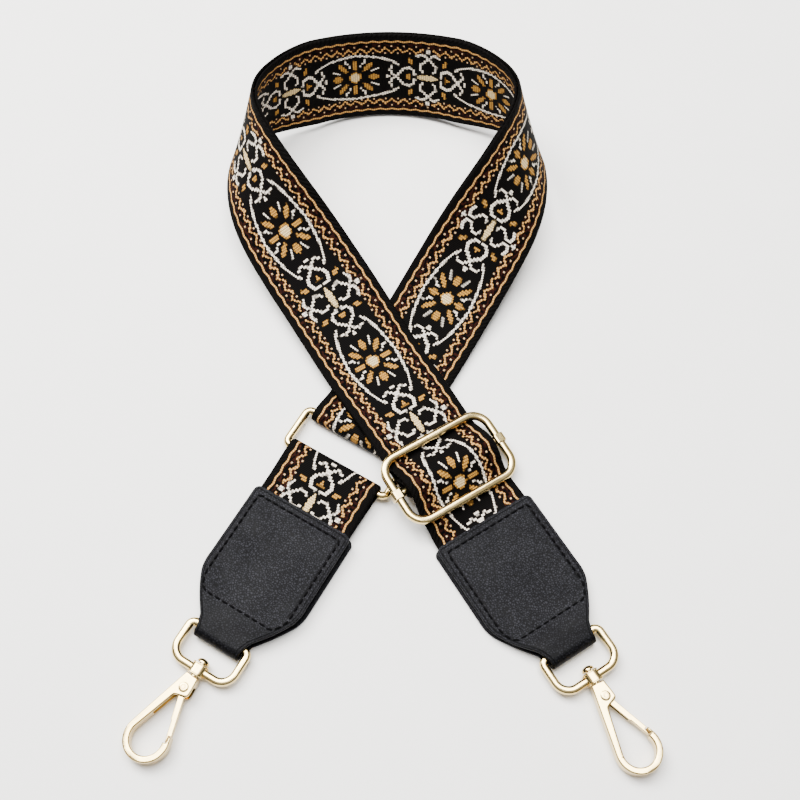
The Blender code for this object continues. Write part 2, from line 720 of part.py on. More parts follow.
def build_ring(leg):
    half = RING_INNER_WIDTH / 2 + WIRE_RADIUS
    low = -RING_INNER_HEIGHT - 2 * WIRE_RADIUS
    outline = rounded_rectangle(half, low, 0.0, RING_CORNER, RING_CORNER)
    mesh = wire_mesh("adjuster_ring", [(x, y, 0.0) for x, y in outline], WIRE_RADIUS)
    frame = add_frame("adjuster_ring_axis", leg.matrix(RING_FROM_CROSSING, -SIDE_PLAY, WIRE_HEIGHT))
    add_node("adjuster_ring", mesh, "gold", frame)


def build_slider(axes):
    along, side, out, middle = axes
    matrix = Matrix((-side, along, out)).transposed().to_4x4()
    matrix.translation = middle
    frame = add_frame("slider_axis", matrix)
    half = SLIDER_INNER_WIDTH / 2 + WIRE_RADIUS
    outline = rounded_rectangle(half, -SLIDER_REACH, SLIDER_REACH, SLIDER_CORNER, SLIDER_CORNER)
    mesh = wire_mesh("slider_frame", [(x, y, 0.0) for x, y in outline], WIRE_RADIUS)
    add_node("slider_frame", mesh, "gold", frame)
    bore = WIRE_RADIUS + SMALL_GAP
    work = bmesh.new()
    bmesh.ops.create_cone(
        work, cap_ends=True, segments=ROUND_STEPS, radius1=WIRE_RADIUS, radius2=WIRE_RADIUS, depth=2 * half
    )
    bmesh.ops.rotate(work, verts=work.verts, matrix=Matrix.Rotation(math.pi / 2, 3, "Y"))
    bar_mesh = bpy.data.meshes.new("slider_bar")
    work.to_mesh(bar_mesh)
    work.free()
    shade_smooth(bar_mesh)
    bar = add_node("slider_bar", bar_mesh, "gold", frame)
    for sign in (-1, 1):
        place = Matrix.Translation((sign * half, 0, 0)) @ Matrix.Rotation(math.pi / 2, 4, "X")
        collar = cylinder_cutter(f"bar_collar_{sign}", bore + COLLAR_WALL, BAR_COLLAR_LENGTH, place, frame)
        boolean(bar, collar, "UNION")
    for sign in (-1, 1):
        place = Matrix.Translation((sign * half, 0, 0)) @ Matrix.Rotation(math.pi / 2, 4, "X")
        boolean(bar, cylinder_cutter(f"bar_bore_{sign}", bore, BAR_COLLAR_LENGTH + OVERRUN, place, frame))


def tangent_angle(point, centre, radius, side):
    """Angle at which a line from the point touches the circle, on the given side."""
    dx, dy = point[0] - centre[0], point[1] - centre[1]
    return math.degrees(math.atan2(dy, dx) + side * math.acos(radius / math.hypot(dx, dy)))


def gate_direction():
    centre_to_pin = HOOK_LENGTH - BOW_RADIUS - PIN_FROM_COLLAR
    slant = math.asin((BOW_RADIUS - BOW_WIDTH / 2) / centre_to_pin)
    return (math.sin(slant), -math.cos(slant)), (math.cos(slant), math.sin(slant)), math.degrees(slant)


def hook_outline():
    """The C-shaped casting from above, with the collar's middle as its origin."""
    centre = (0.0, -(HOOK_LENGTH - BOW_RADIUS))
    inner = BOW_RADIUS - BOW_WIDTH
    head_top = -(COLLAR_LENGTH / 2 + SWIVEL_GAP)
    head_low = head_top - HEAD_LENGTH
    outer_start = (-HEAD_HALF, head_low)
    step_across, step_up = HEAD_STEP_SHARES
    inner_start = (-HEAD_HALF + BOW_WIDTH * step_across, head_low - BOW_WIDTH * step_up)
    along, across, slant = gate_direction()
    nose = GATE_LENGTH + FIT_GAP
    first = tangent_angle(outer_start, centre, BOW_RADIUS, 1)
    second = tangent_angle(inner_start, centre, inner, 1)
    pin = (0.0, -PIN_FROM_COLLAR)
    nose_points = [
        tuple(pin[i] + along[i] * nose + across[i] * s * BOW_WIDTH / 2 for i in (0, 1)) for s in (1, -1)
    ]
    points = [(-HEAD_TOP_HALF, head_top), outer_start]
    points += round_corner(centre, BOW_RADIUS, first, FULL_TURN + slant, 3 * CURVE_STEPS + 1)
    points += nose_points
    points += round_corner(centre, inner, FULL_TURN + slant, second, 3 * CURVE_STEPS + 1)
    points += [inner_start, (HEAD_HALF, head_low), (HEAD_TOP_HALF, head_top)]
    return points


def gate_outline():
    """The lever with its round root about the pin, which is its origin."""
    along, across, slant = gate_direction()
    half = GATE_WIDTH / 2
    root = math.degrees(math.asin(half / GATE_ROOT_RADIUS))
    heading = math.degrees(math.atan2(along[1], along[0]))
    start, end = heading + root, heading + FULL_TURN - root
    points = round_corner((0, 0), GATE_ROOT_RADIUS, start, end, 2 * CURVE_STEPS)
    points += [
        (along[0] * GATE_LENGTH + across[0] * s * half, along[1] * GATE_LENGTH + across[1] * s * half)
        for s in (-1, 1)
    ]
    return points


def build_d_ring(side, frame):
    name = "d_ring_" + side
    outline = rounded_rectangle(D_HALF_WIDTH, -D_LENGTH, 0.0, D_BOTTOM_CORNER, D_TOP_CORNER)
    mesh = wire_mesh(name, [(x, y, 0.0) for x, y in outline], WIRE_RADIUS)
    ring = add_node(name, mesh, "gold", frame)
    place = Matrix.Translation((0, -D_LENGTH, 0)) @ Matrix.Rotation(math.pi / 2, 4, "X")
    boolean(ring, cylinder_cutter(name + "_barrel", COLLAR_WAIST, COLLAR_LENGTH, place, frame), "UNION")
    for sign in (-1, 1):
        at = Matrix.Translation((0, -D_LENGTH + sign * (COLLAR_LENGTH - COLLAR_RIM) / 2, 0))
        at = at @ Matrix.Rotation(math.pi / 2, 4, "X")
        rim = cylinder_cutter(f"{name}_rim_{sign}", COLLAR_RADIUS, COLLAR_RIM, at, frame)
        boolean(ring, rim, "UNION")
    bore = POST_RADIUS + FIT_GAP
    boolean(ring, cylinder_cutter(name + "_bore", bore, COLLAR_LENGTH + OVERRUN, place, frame))


def build_hook(side, frame):
    body_mesh = outline_mesh("hook_body_" + side, hook_outline(), HOOK_THICKNESS, HOOK_EDGE)
    body = add_node("hook_body_" + side, body_mesh, "gold", frame)
    head_top = -(COLLAR_LENGTH / 2 + SWIVEL_GAP)
    head_low = head_top - HEAD_LENGTH
    pin = Matrix.Translation((0, -PIN_FROM_COLLAR, 0))
    slot_top = -PIN_FROM_COLLAR + GATE_ROOT_RADIUS + FIT_GAP
    slot = box_cutter(
        "slot_" + side,
        (-HEAD_HALF + SLOT_WALL, head_low - OVERRUN, -SLOT_WIDTH / 2),
        (HEAD_HALF + OVERRUN, slot_top, SLOT_WIDTH / 2),
        frame,
    )
    boolean(body, slot)
    hole = PIN_RADIUS + SMALL_GAP
    boolean(body, cylinder_cutter("pin_hole_" + side, hole, HOOK_THICKNESS + OVERRUN, pin, frame))
    seat_low = head_top - POST_SEAT - FIT_GAP
    seat_middle = Matrix.Translation((0, (seat_low + head_top + OVERRUN) / 2, 0))
    seat = seat_middle @ Matrix.Rotation(math.pi / 2, 4, "X")
    seat_length = head_top + OVERRUN - seat_low
    boolean(body, cylinder_cutter("post_seat_" + side, POST_RADIUS + SMALL_GAP, seat_length, seat, frame))


def build_post(side, frame):
    """The swivel rivet: its dome bears on the collar and its shank is fixed in the hook's head."""
    shoulder = COLLAR_LENGTH / 2 + SWIVEL_GAP
    foot = -shoulder - POST_SEAT
    dome = [
        (DOME_RADIUS * math.sin(math.radians(a)), shoulder + DOME_HEIGHT * math.cos(math.radians(a)))
        for a in range(0, 91, 15)
    ]
    dome[0] = (0.0, shoulder + DOME_HEIGHT)
    profile = dome + [(POST_RADIUS, shoulder), (POST_RADIUS, foot), (0.0, foot)]
    turned_object("swivel_post_" + side, profile, "gold", frame, Matrix.Rotation(-math.pi / 2, 4, "X"))


def build_gate(side, frame):
    mesh = outline_mesh("gate_" + side, gate_outline(), GATE_THICKNESS, HOOK_EDGE / 3)
    gate = add_node("gate_" + side, mesh, "gold", frame)
    hole = PIN_RADIUS + SMALL_GAP
    depth = GATE_THICKNESS + OVERRUN
    boolean(gate, cylinder_cutter("gate_hole_" + side, hole, depth, Matrix.Identity(4), frame))
    floor = GATE_TONGUE - GATE_THICKNESS / 2
    pocket = GATE_THICKNESS / 2 + OVERRUN - floor
    place = Matrix.Translation((0, 0, floor + pocket / 2))
    radius = GATE_ROOT_RADIUS + FIT_GAP
    boolean(gate, cylinder_cutter("spring_pocket_" + side, radius, pocket, place, frame))


def build_pin(side, frame):
    """A flat rivet whose heads lie on the two cheeks of the hook's head."""
    cheek = HOOK_THICKNESS / 2 + SMALL_GAP
    top = cheek + PIN_HEAD_HEIGHT
    ring = PIN_HEAD_RADIUS * PIN_RING_SHARE
    groove = PIN_HEAD_HEIGHT * PIN_GROOVE_SHARE
    inner, outer = PIN_SIDE_SHARES
    half = [(0.0, top), (ring * inner, top), (ring, top - groove), (ring * outer, top)]
    half += [(PIN_HEAD_RADIUS, top - groove / 2), (PIN_HEAD_RADIUS, cheek), (PIN_RADIUS, cheek)]
    profile = half + [(r, -h) for r, h in reversed(half)]
    turned_object("gate_pin_" + side, profile, "gold", frame, Matrix.Identity(4))


def build_spring(side, frame):
    """The torsion spring about the pin, in the step of the gate's root."""
    start = GATE_TONGUE - GATE_THICKNESS / 2 + SMALL_GAP + SPRING_WIRE
    rise = SLOT_WIDTH / 2 - SMALL_GAP - SPRING_WIRE - start
    steps = int(COIL_STEPS * SPRING_TURNS)
    points = []
    for i in range(steps + 1):
        turn = 2 * math.pi * SPRING_TURNS * i / steps + math.pi / 2
        x, y = SPRING_RADIUS * math.cos(turn), SPRING_RADIUS * math.sin(turn)
        points.append((x, y, start + rise * i / steps))
    turn_gap = min(
        math.dist(points[i], points[j])
        for i in range(len(points)) for j in range(i + COIL_STEPS // 2, len(points))
    ) - 2 * SPRING_WIRE
    print(f"gate_spring_{side}: least gap between turns {turn_gap / MM:.2f} mm")
    first, last = Vector(points[0]), Vector(points[-1])
    lead = (first - Vector(points[1])).normalized() * SPRING_LEG
    tail = (last - Vector(points[-2])).normalized() * SPRING_LEG
    points = [tuple(first + lead)] + points + [tuple(last + tail)]
    mesh = wire_mesh("gate_spring_" + side, points, SPRING_WIRE, closed=False, rounding=1)
    add_node("gate_spring_" + side, mesh, "spring", frame)


def build_end(side, tab_frame, shift):
    """The D-ring, swivel and snap hook that hang on one tab."""
    bar = Matrix.Translation((shift, -(TAB_FOLD_AT - BAR_PLAY), TAB_BAR_HEIGHT))
    ring_frame = add_frame("d_ring_axis_" + side, bar, tab_frame)
    build_d_ring(side, ring_frame)
    hang = Matrix.Translation((0, -D_LENGTH, 0)) @ Matrix.Rotation(math.radians(HOOK_TURN), 4, "Z")
    hook_frame = add_frame("hook_axis_" + side, hang, ring_frame)
    build_hook(side, hook_frame)
    build_post(side, hook_frame)
    gate_frame = add_frame("gate_axis_" + side, Matrix.Translation((0, -PIN_FROM_COLLAR, 0)), hook_frame)
    build_gate(side, gate_frame)
    build_pin(side, gate_frame)
    build_spring(side, gate_frame)


clear_scene()
make_collections()
loop = loop_halves()
direction = loop[2]
right = Leg(direction)
left = Leg((-direction[0], direction[1]))
slider = slider_axes(right)
build_main_webbing(right, left, loop, slider)
build_short_webbing(left)
build_ring(left)
build_slider(slider)
right_tab = build_tab("right", 1, right.matrix(RIGHT_TAB_FROM_CROSSING))
left_tab = build_tab("left", 2, left.matrix(LEFT_TAB_FROM_CROSSING, -2 * SIDE_PLAY))
build_seam("right", 1, right_tab)
build_seam("left", 2, left_tab)
build_end("right", right_tab, D_SIDE_PLAY)
build_end("left", left_tab, -D_SIDE_PLAY)
bpy.context.view_layer.update()
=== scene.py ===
import math

import bmesh
import bpy
import numpy as np
from mathutils import Matrix, Vector


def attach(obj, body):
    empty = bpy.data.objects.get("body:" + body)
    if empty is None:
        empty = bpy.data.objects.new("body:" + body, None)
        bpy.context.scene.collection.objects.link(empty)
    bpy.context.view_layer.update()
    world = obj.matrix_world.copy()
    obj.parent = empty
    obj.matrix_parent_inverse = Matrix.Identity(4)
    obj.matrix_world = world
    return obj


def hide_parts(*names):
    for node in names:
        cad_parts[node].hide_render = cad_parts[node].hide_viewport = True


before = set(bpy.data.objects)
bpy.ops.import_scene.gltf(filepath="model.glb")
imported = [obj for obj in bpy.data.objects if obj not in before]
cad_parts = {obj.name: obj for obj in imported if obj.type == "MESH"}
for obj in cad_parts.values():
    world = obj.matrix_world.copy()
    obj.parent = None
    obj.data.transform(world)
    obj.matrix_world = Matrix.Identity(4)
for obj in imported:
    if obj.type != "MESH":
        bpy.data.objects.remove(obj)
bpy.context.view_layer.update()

MM = 0.001

# ---- The way the long webbing lies --------------------------------------------------------------------
# One jacquard band runs from the right leather end through the slide adjuster, up the right leg, round the
# loop, down the left leg, round the adjuster ring and back underneath itself to the slider's middle bar.
# It bends only across its face, so the loop leans over as it turns.

WEB_WIDTH, WEB_THICKNESS = 38.0 * MM, 1.3 * MM
HALF = WEB_WIDTH / 2
LAYER_GAP, FIT_GAP, SMALL_GAP, SIDE_PLAY = 0.3 * MM, 0.3 * MM, 0.2 * MM, 0.4 * MM
WIRE_RADIUS = 1.5 * MM
LAYER_STEP = WEB_THICKNESS + LAYER_GAP
LEG_HEIGHT = WEB_THICKNESS + LAYER_GAP / 2
WRAP_RADIUS = WIRE_RADIUS + FIT_GAP + WEB_THICKNESS / 2
WIRE_HEIGHT = WEB_THICKNESS + FIT_GAP + WIRE_RADIUS
FOLD_HEIGHT = WIRE_HEIGHT + WRAP_RADIUS + WEB_THICKNESS / 2
# From the loop's top: where the band leans over and how far, its round top, its corner, and the leg's lift
TOP_LEAN, LEAN_START, LEAN_END, LEAN_EASE = 107.6, 30.8 * MM, 204.5 * MM, 0.66
ARC_RADIUS, ARC_END, ARC_FADE = 72.0 * MM, 110.4 * MM, 15.7 * MM
CORNER_ANGLE, CORNER_AT, CORNER_SPAN = 41.4, 66.6 * MM, 24.0 * MM
LIFT_ANGLE, LIFT_AT, LIFT_SPAN = 23.5, 163.3 * MM, 52.0 * MM
LOOP_STEP = 4.4 * MM
# Where the leg comes to rest on the table, in band widths from the crossing
SETTLE_SHARES = (-0.65, -0.2)
RING_INNER_HEIGHT, RING_FROM_CROSSING = 13.0 * MM, 22.8 * MM
SLIDER_REACH, SLIDER_FROM_CROSSING = 13.2 * MM, 40.0 * MM
SLIDER_ROLL, SLIDER_PITCH, SLIDER_WEB_HEIGHT = 7.0, 6.2, 5.9 * MM
TAIL_LENGTH = 5.0 * MM
LEATHER = 1.4 * MM
RIGHT_TAB_FROM_CROSSING, LEFT_TAB_FROM_CROSSING, WEB_IN_TAB = 63.2 * MM, 58.6 * MM, 37.0 * MM
TAB_WEB_HEIGHT = LEATHER + SMALL_GAP + WEB_THICKNESS / 2
# Over the left leg: place in band widths from the crossing, share of the fold's height, and of the roll
LEG_LIFT_SHARES = (
    (0.63, 0.76, 0.97), (0.5, 0.8, 0.85), (0.26, 0.81, 0.56), (0.0, 0.71, 0.32),
    (-0.26, 0.625, 0.06), (-0.53, 0.6, 0.0), (-0.82, 0.58, 0.0),
)
LEG_FADE_SHARE, RING_FOLD_SHARE = 1.2, 0.34


def ease(value, start, end):
    """From 0 at start to 1 at end, slow at both."""
    share = np.clip((value - start) / (end - start), 0, 1)
    return 0.5 - 0.5 * np.cos(math.pi * share)


def bump(value, middle, span):
    """1 in the middle, falling to 0 a span away on either side."""
    return 0.5 + 0.5 * np.cos(math.pi * np.clip((value - middle) / span, -1, 1))


def smooth_line(places, values, at):
    """A smooth curve through the values set at places, read at one place or many."""
    places, values = np.asarray(places), np.asarray(values)
    slopes = np.gradient(values, places)
    i = np.clip(np.searchsorted(places, at) - 1, 0, len(places) - 2)
    width = places[i + 1] - places[i]
    u = np.clip((at - places[i]) / width, 0, 1)
    return (
        values[i] * (1 + 2 * u) * (1 - u) ** 2
        + values[i + 1] * u * u * (3 - 2 * u)
        + width * slopes[i] * u * (1 - u) ** 2
        - width * slopes[i + 1] * u * u * (1 - u)
    )


def strap_frame(heading, pitch, lean):
    """Travel, width (towards the loop's inner edge) and upper-face directions of the leaning strap."""
    travel = np.array(
        (math.cos(pitch) * math.cos(heading), math.cos(pitch) * math.sin(heading), math.sin(pitch))
    )
    inward = np.array((-math.sin(heading), math.cos(heading), 0.0))
    up = np.cross(travel, inward)
    width = math.cos(lean) * inward + math.sin(lean) * up
    face = math.cos(lean) * up - math.sin(lean) * inward
    return travel, width, face


def half_loop(lift_angle, lift_at):
    """The strap from the top of the loop, down its left side, to the flat leg."""
    count = int(round((LEAN_END + WEB_WIDTH) / LOOP_STEP)) + 1
    along = np.linspace(0, LEAN_END + WEB_WIDTH, count)
    step = along[1]
    middle = (along[:-1] + along[1:]) / 2

    def lean_at(place):
        share = np.clip((place - LEAN_START) / (LEAN_END - LEAN_START), 0, 1) ** LEAN_EASE
        return math.radians(TOP_LEAN) * (1 - ease(share, 0, 1))

    bend = (
        (1 - ease(middle, ARC_END, ARC_END + ARC_FADE)) / ARC_RADIUS
        + math.radians(CORNER_ANGLE) / CORNER_SPAN * bump(middle, CORNER_AT, CORNER_SPAN)
        - math.radians(lift_angle) / LIFT_SPAN * bump(middle, lift_at, LIFT_SPAN)
    )
    heading, pitch = math.pi, 0.0
    lean = math.radians(TOP_LEAN)
    centre = np.array((0.0, 0.0, HALF * math.sin(lean) + LEG_HEIGHT * abs(math.cos(lean))))
    stations = [(centre, *strap_frame(heading, pitch, lean_at(0.0))[1:])]
    for place, end, curl in zip(middle, along[1:], bend):
        lean = lean_at(place)
        turn = curl * math.sin(lean) * step / math.cos(pitch)
        rise = -curl * math.cos(lean) * step
        centre = centre + strap_frame(heading + turn / 2, pitch + rise / 2, lean)[0] * step
        heading, pitch = heading + turn, pitch + rise
        stations.append((centre, *strap_frame(heading, pitch, lean_at(end))[1:]))
    return stations, heading, pitch


def settled_half_loop():
    """Finds the lift's angle and place at which the leg ends flat on the table."""
    guess = np.array((LIFT_ANGLE, LIFT_AT))
    nudge = np.array((0.05, LIFT_AT / 1000))

    def misses(values):
        stations, _, pitch = half_loop(*values)
        return np.array(((stations[-1][0][2] - LEG_HEIGHT) / WEB_WIDTH, pitch))

    for _ in range(12):
        miss = misses(guess)
        slopes = [(misses(guess + nudge * axis) - miss) / nudge[i] for i, axis in enumerate(np.eye(2))]
        guess = guess - np.linalg.solve(np.array(slopes).T, miss)
    return half_loop(*guess)


def loop_halves():
    """The loop's left and right halves from its top to beyond the crossing, and the right leg's direction."""
    stations, heading, _ = settled_half_loop()
    travel = np.array((math.cos(heading), math.sin(heading), 0.0))
    last = stations[-1][0]
    crossing = last[1] - travel[1] * last[0] / travel[0]
    inward, up = np.array((-travel[1], travel[0], 0.0)), np.array((0.0, 0.0, 1.0))
    left = []
    for centre, width, face in stations:
        centre = centre - np.array((0.0, crossing, 0.0))
        place = float(np.dot(centre, travel)) / WEB_WIDTH
        rest = float(ease(place, *SETTLE_SHARES))
        centre[2] += (LEG_HEIGHT - centre[2]) * rest
        width = width * (1 - rest) + inward * rest
        face = face * (1 - rest) + up * rest
        left.append((centre, width / np.linalg.norm(width), face / np.linalg.norm(face)))
    mirror = np.array((-1.0, 1.0, 1.0))
    right = [(centre * mirror, width * mirror, face * mirror) for centre, width, face in left]
    return left, right, travel


def layer(stations, side):
    """One layer of the doubled webbing: side 1 is the patterned upper one, -1 the one below it."""
    return [(centre + face * side * LAYER_STEP / 2, width) for centre, width, face in stations]


class Leg:
    """A leg of the strap as a line on the table: distance from the crossing, left of it, and height."""

    def __init__(self, direction):
        self.away = np.array((direction[0], direction[1], 0.0)) / math.hypot(direction[0], direction[1])
        self.left = np.array((-self.away[1], self.away[0], 0.0))

    def point(self, distance, left=0.0, height=0.0):
        return self.away * distance + self.left * left + np.array((0.0, 0.0, height))

    def matrix(self, distance, left=0.0, height=0.0):
        """A frame whose -Y points along the leg, away from the crossing."""
        turn = math.atan2(self.away[1], self.away[0]) + math.pi / 2
        return Matrix.Translation(self.point(distance, left, height)) @ Matrix.Rotation(turn, 4, "Z")


def slider_axes(leg):
    """Directions up the leg, to the loop's outer side, and out of the slider's face, and its middle."""
    pitch, roll = math.radians(SLIDER_PITCH), math.radians(SLIDER_ROLL)
    along = -leg.away * math.cos(pitch) + np.array((0.0, 0.0, math.sin(pitch)))
    level = -leg.left
    up = np.cross(along, level)
    side = level * math.cos(roll) + up * math.sin(roll)
    out = up * math.cos(roll) - level * math.sin(roll)
    upper_bar = leg.point(SLIDER_FROM_CROSSING - SLIDER_REACH, 0.0, SLIDER_WEB_HEIGHT)
    middle = upper_bar - along * SLIDER_REACH + out * (WRAP_RADIUS + LAYER_STEP / 2)
    return along, side, out, middle


def slider_top_layer(axes):
    """The patterned layer from the slider's upper bar to its lower bar, over the middle bar."""
    along, side, out, middle = axes
    crest = WRAP_RADIUS + LAYER_STEP
    stations = []
    for x in np.linspace(SLIDER_REACH, -SLIDER_REACH, 23):
        height = -WRAP_RADIUS + (crest + WRAP_RADIUS) * (0.5 + 0.5 * math.cos(math.pi * x / SLIDER_REACH))
        stations.append((middle + along * x + out * height, -side))
    return stations


def slider_wrap(axes):
    """The lower layer from the upper bar, round the middle bar, to its sewn tail."""
    along, side, out, middle = axes
    start = -WRAP_RADIUS - LAYER_STEP
    stations = []
    for x in np.linspace(SLIDER_REACH, 0, 8):
        height = start + LAYER_STEP * (1 - ease(x, 0, SLIDER_REACH * 0.75))
        stations.append((middle + along * x + out * height, -side))
    for angle in np.arange(-105, -316, -15):
        turn = math.radians(angle)
        spot = along * math.cos(turn) * WRAP_RADIUS + out * math.sin(turn) * WRAP_RADIUS
        stations.append((middle + spot, -side))
    leave = (along - out) / math.sqrt(2)
    knee = stations[-1][0]
    stations += [(knee + leave * TAIL_LENGTH * share, -side) for share in (0.5, 1.0)]
    return stations


def lifted_leg(leg, axes, half):
    """The loop's left half from the slider's upper bar to its top, lifted and rolled over the left leg."""
    along, side, out, middle = axes
    bar = SLIDER_FROM_CROSSING - SLIDER_REACH
    nose = bar - SLIDER_REACH / 8
    low = SLIDER_WEB_HEIGHT - LEG_HEIGHT
    nose_lift = low + math.tan(math.radians(SLIDER_PITCH)) * (bar - nose)
    table = [(bar, low, SLIDER_ROLL), (nose, nose_lift, SLIDER_ROLL)]
    for share, lift, roll in LEG_LIFT_SHARES:
        table.append((share * WEB_WIDTH, lift * FOLD_HEIGHT, roll * SLIDER_ROLL))
    places = [-row[0] for row in table]
    end, last_lift = places[-1], table[-1][1]
    start = middle + along * SLIDER_REACH - out * (WRAP_RADIUS + LAYER_STEP / 2)
    lifted = [(start, -side, out)]
    for centre, width, face in reversed(half):
        place = -float(np.dot(centre, leg.away))
        if place < -bar + LOOP_STEP / 3:
            continue
        lift = smooth_line(places, [row[1] for row in table], place)
        if place > end:
            lift = last_lift * (1 - ease(place, end, end + LEG_FADE_SHARE * WEB_WIDTH))
        roll = math.radians(smooth_line(places, [row[2] for row in table], place))
        lifted.append((
            centre + np.array((0.0, 0.0, lift)),
            width * math.cos(roll) - face * math.sin(roll),
            face * math.cos(roll) + width * math.sin(roll),
        ))
    return lifted


def tab_entry(leg, first):
    """The single layer from inside the right tab up to the slider's lower bar."""
    top = RIGHT_TAB_FROM_CROSSING
    start = leg.point(top, 0.0, TAB_WEB_HEIGHT)
    inside = [leg.point(top + WEB_IN_TAB * share, 0.0, TAB_WEB_HEIGHT) for share in (1.0, 0.5, 0.0)]
    stations = [(point, leg.left) for point in inside]
    end, width = first
    slope = float(np.linalg.norm((end - start)[:2])) * math.tan(math.radians(SLIDER_PITCH))
    for share in np.linspace(0, 1, 8)[1:-1]:
        eased = share * share * (3 - 2 * share)
        centre = start + (end - start) * share
        centre[2] = start[2] + (end[2] - start[2]) * eased + slope * share * share * (share - 1)
        across = leg.left * (1 - eased) + width * eased
        stations.append((centre, across / np.linalg.norm(across)))
    return stations


def ring_fold(leg, left, bar_at, start, top_rest, low_rest, toward):
    """A band's fold round one of the ring's bars; toward is 1 where it faces away from the crossing."""
    high, low = WIRE_HEIGHT + WRAP_RADIUS, WIRE_HEIGHT - WRAP_RADIUS
    path = [
        (start + (bar_at - start) * share, top_rest + (high - top_rest) * ease(share, 0, 1))
        for share in np.linspace(0, 1, 7)[:-1]
    ]
    for angle in np.arange(90, -91, -15):
        turn = math.radians(angle)
        reach = toward * WRAP_RADIUS * math.cos(turn)
        path.append((bar_at + reach, WIRE_HEIGHT + WRAP_RADIUS * math.sin(turn)))
    path += [
        (bar_at + (start - bar_at) * share, low + (low_rest - low) * ease(share, 0, 1))
        for share in np.linspace(0, 1, 5)[1:]
    ]
    return [(leg.point(place, left, height), -leg.left * toward) for place, height in path]


def distances(spots):
    """How far along a line of spots each of them lies."""
    return np.concatenate([[0.0], np.cumsum(np.linalg.norm(np.diff(spots, axis=0), axis=1))])


def headings(spots):
    """The direction of travel at each of a line's spots."""
    travel = np.gradient(spots, axis=0)
    return travel / np.linalg.norm(travel, axis=1)[:, None]


def finer(stations, step):
    """The same way in smaller, even steps: distance, middle, width and outward directions of each step."""
    kept = [stations[0]]
    for station in stations[1:]:
        if np.linalg.norm(station[0] - kept[-1][0]) > WEB_THICKNESS / 4:
            kept.append(station)
    along = distances(np.array([station[0] for station in kept]))
    places = np.linspace(0, along[-1], int(round(along[-1] / step)) + 1)
    spot, width = (
        np.array([smooth_line(along, column, places) for column in np.array(rows).T]).T
        for rows in ([station[0] for station in kept], [station[1] for station in kept])
    )
    travel = headings(spot)
    width -= travel * np.sum(width * travel, axis=1)[:, None]
    width /= np.linalg.norm(width, axis=1)[:, None]
    return places, spot, width, np.cross(travel, width)


left_half, right_half, direction = loop_halves()
right_leg, left_leg = Leg(direction), Leg((-direction[0], direction[1]))
slider = slider_axes(right_leg)
doubled = lifted_leg(right_leg, slider, left_half)
fold_start = RING_FROM_CROSSING - WEB_WIDTH * RING_FOLD_SHARE
for centre, width, face in right_half[1:]:
    if float(np.dot(centre, left_leg.away)) < fold_start - LOOP_STEP / 3:
        doubled.append((centre, width, face))
top_layer = slider_top_layer(slider)[::-1]
ring_turn = ring_fold(
    left_leg, 0.0, RING_FROM_CROSSING, fold_start, LEG_HEIGHT + LAYER_STEP / 2, WEB_THICKNESS / 2, 1
)
long_way = tab_entry(right_leg, top_layer[0]) + top_layer[:-1] + layer(doubled, 1) + ring_turn
long_way += layer(doubled, -1)[::-1][:-1] + slider_wrap(slider)

# ---- Long patterned webbing ---------------------------------------------------------------------------
# 38 mm jacquard band of polyester: brown-black ground, ochre and cream figure threads that float along the
# band, a dark red-brown border with a gold zigzag, and rope-ridged black selvages. One piece, sewn shut.

BAND_STEP, EDGE_ROUND, BAND_ROWS = 1.25 * MM, 1.1 * MM, 14
# The figure's repeat along the band, in mm
REPEAT = 60.8
# How the figure falls on the band: distance along it in mm, and the number of the flower there
FLOWER_PLACES = (
    (54.5, 0.0), (116.0, 1.0), (146.5, 1.5), (178.5, 2.0), (212.0, 2.5), (393.5, 5.0), (424.5, 5.5),
    (456.0, 6.0), (701.0, 10.0), (730.0, 10.5), (761.0, 11.0), (789.5, 11.5),
)


def edge_rows(half, rounding, count):
    """Places across a band, closer together towards its edges, and the thickness share at each."""
    turn = [math.radians(a) for a in (8, 30, 52, 74, 90)]
    edge = [half - rounding + rounding * math.cos(a) for a in turn]
    share = [math.sin(a) for a in turn]
    inner = list(np.linspace(edge[-1], -edge[-1], count)[1:-1])
    return edge + inner + [-e for e in reversed(edge)], share + [1.0] * len(inner) + list(reversed(share))


def band_mesh(name, places, spot, width, normal, halves, thickness, rounding, count, shift=0.0):
    """A solid band with rounded edges. Its UV map gives the place along and across it, in metres."""
    work = bmesh.new()
    uv = work.loops.layers.uv.new("weave")
    rings = []
    for i, place in enumerate(places):
        rows, shares = edge_rows(halves[i], rounding, count)
        ring = []
        for side in (1, -1):
            line = list(zip(rows, shares))
            for row, share in line if side == 1 else reversed(line):
                at = spot[i] + width[i] * row + normal[i] * side * share * thickness / 2
                ring.append((work.verts.new(at), (place + shift, row), side))
        rings.append(ring)
    total = len(rings[0])
    for i in range(len(rings) - 1):
        for k in range(total):
            n = (k + 1) % total
            corners = [rings[i][k], rings[i][n], rings[i + 1][n], rings[i + 1][k]]
            face = work.faces.new([c[0] for c in corners])
            face.smooth = True
            face.material_index = 0 if corners[0][2] == 1 or corners[1][2] == 1 else 1
            for loop, corner in zip(face.loops, corners):
                loop[uv].uv = corner[1]
    for ring in (rings[0], rings[-1]):
        face = work.faces.new([c[0] for c in ring])
        face.material_index = 1
        for loop, corner in zip(face.loops, ring):
            loop[uv].uv = corner[1]
    bmesh.ops.recalc_face_normals(work, faces=work.faces)
    mesh = bpy.data.meshes.new(name)
    work.to_mesh(mesh)
    work.free()
    return mesh


def linear(code):
    """A colour given as sRGB hex, in the linear values that shaders take."""
    values = [int(code[i : i + 2], 16) / 255 for i in (1, 3, 5)]
    return (*[v / 12.92 if v <= 0.04045 else ((v + 0.055) / 1.055) ** 2.4 for v in values], 1.0)


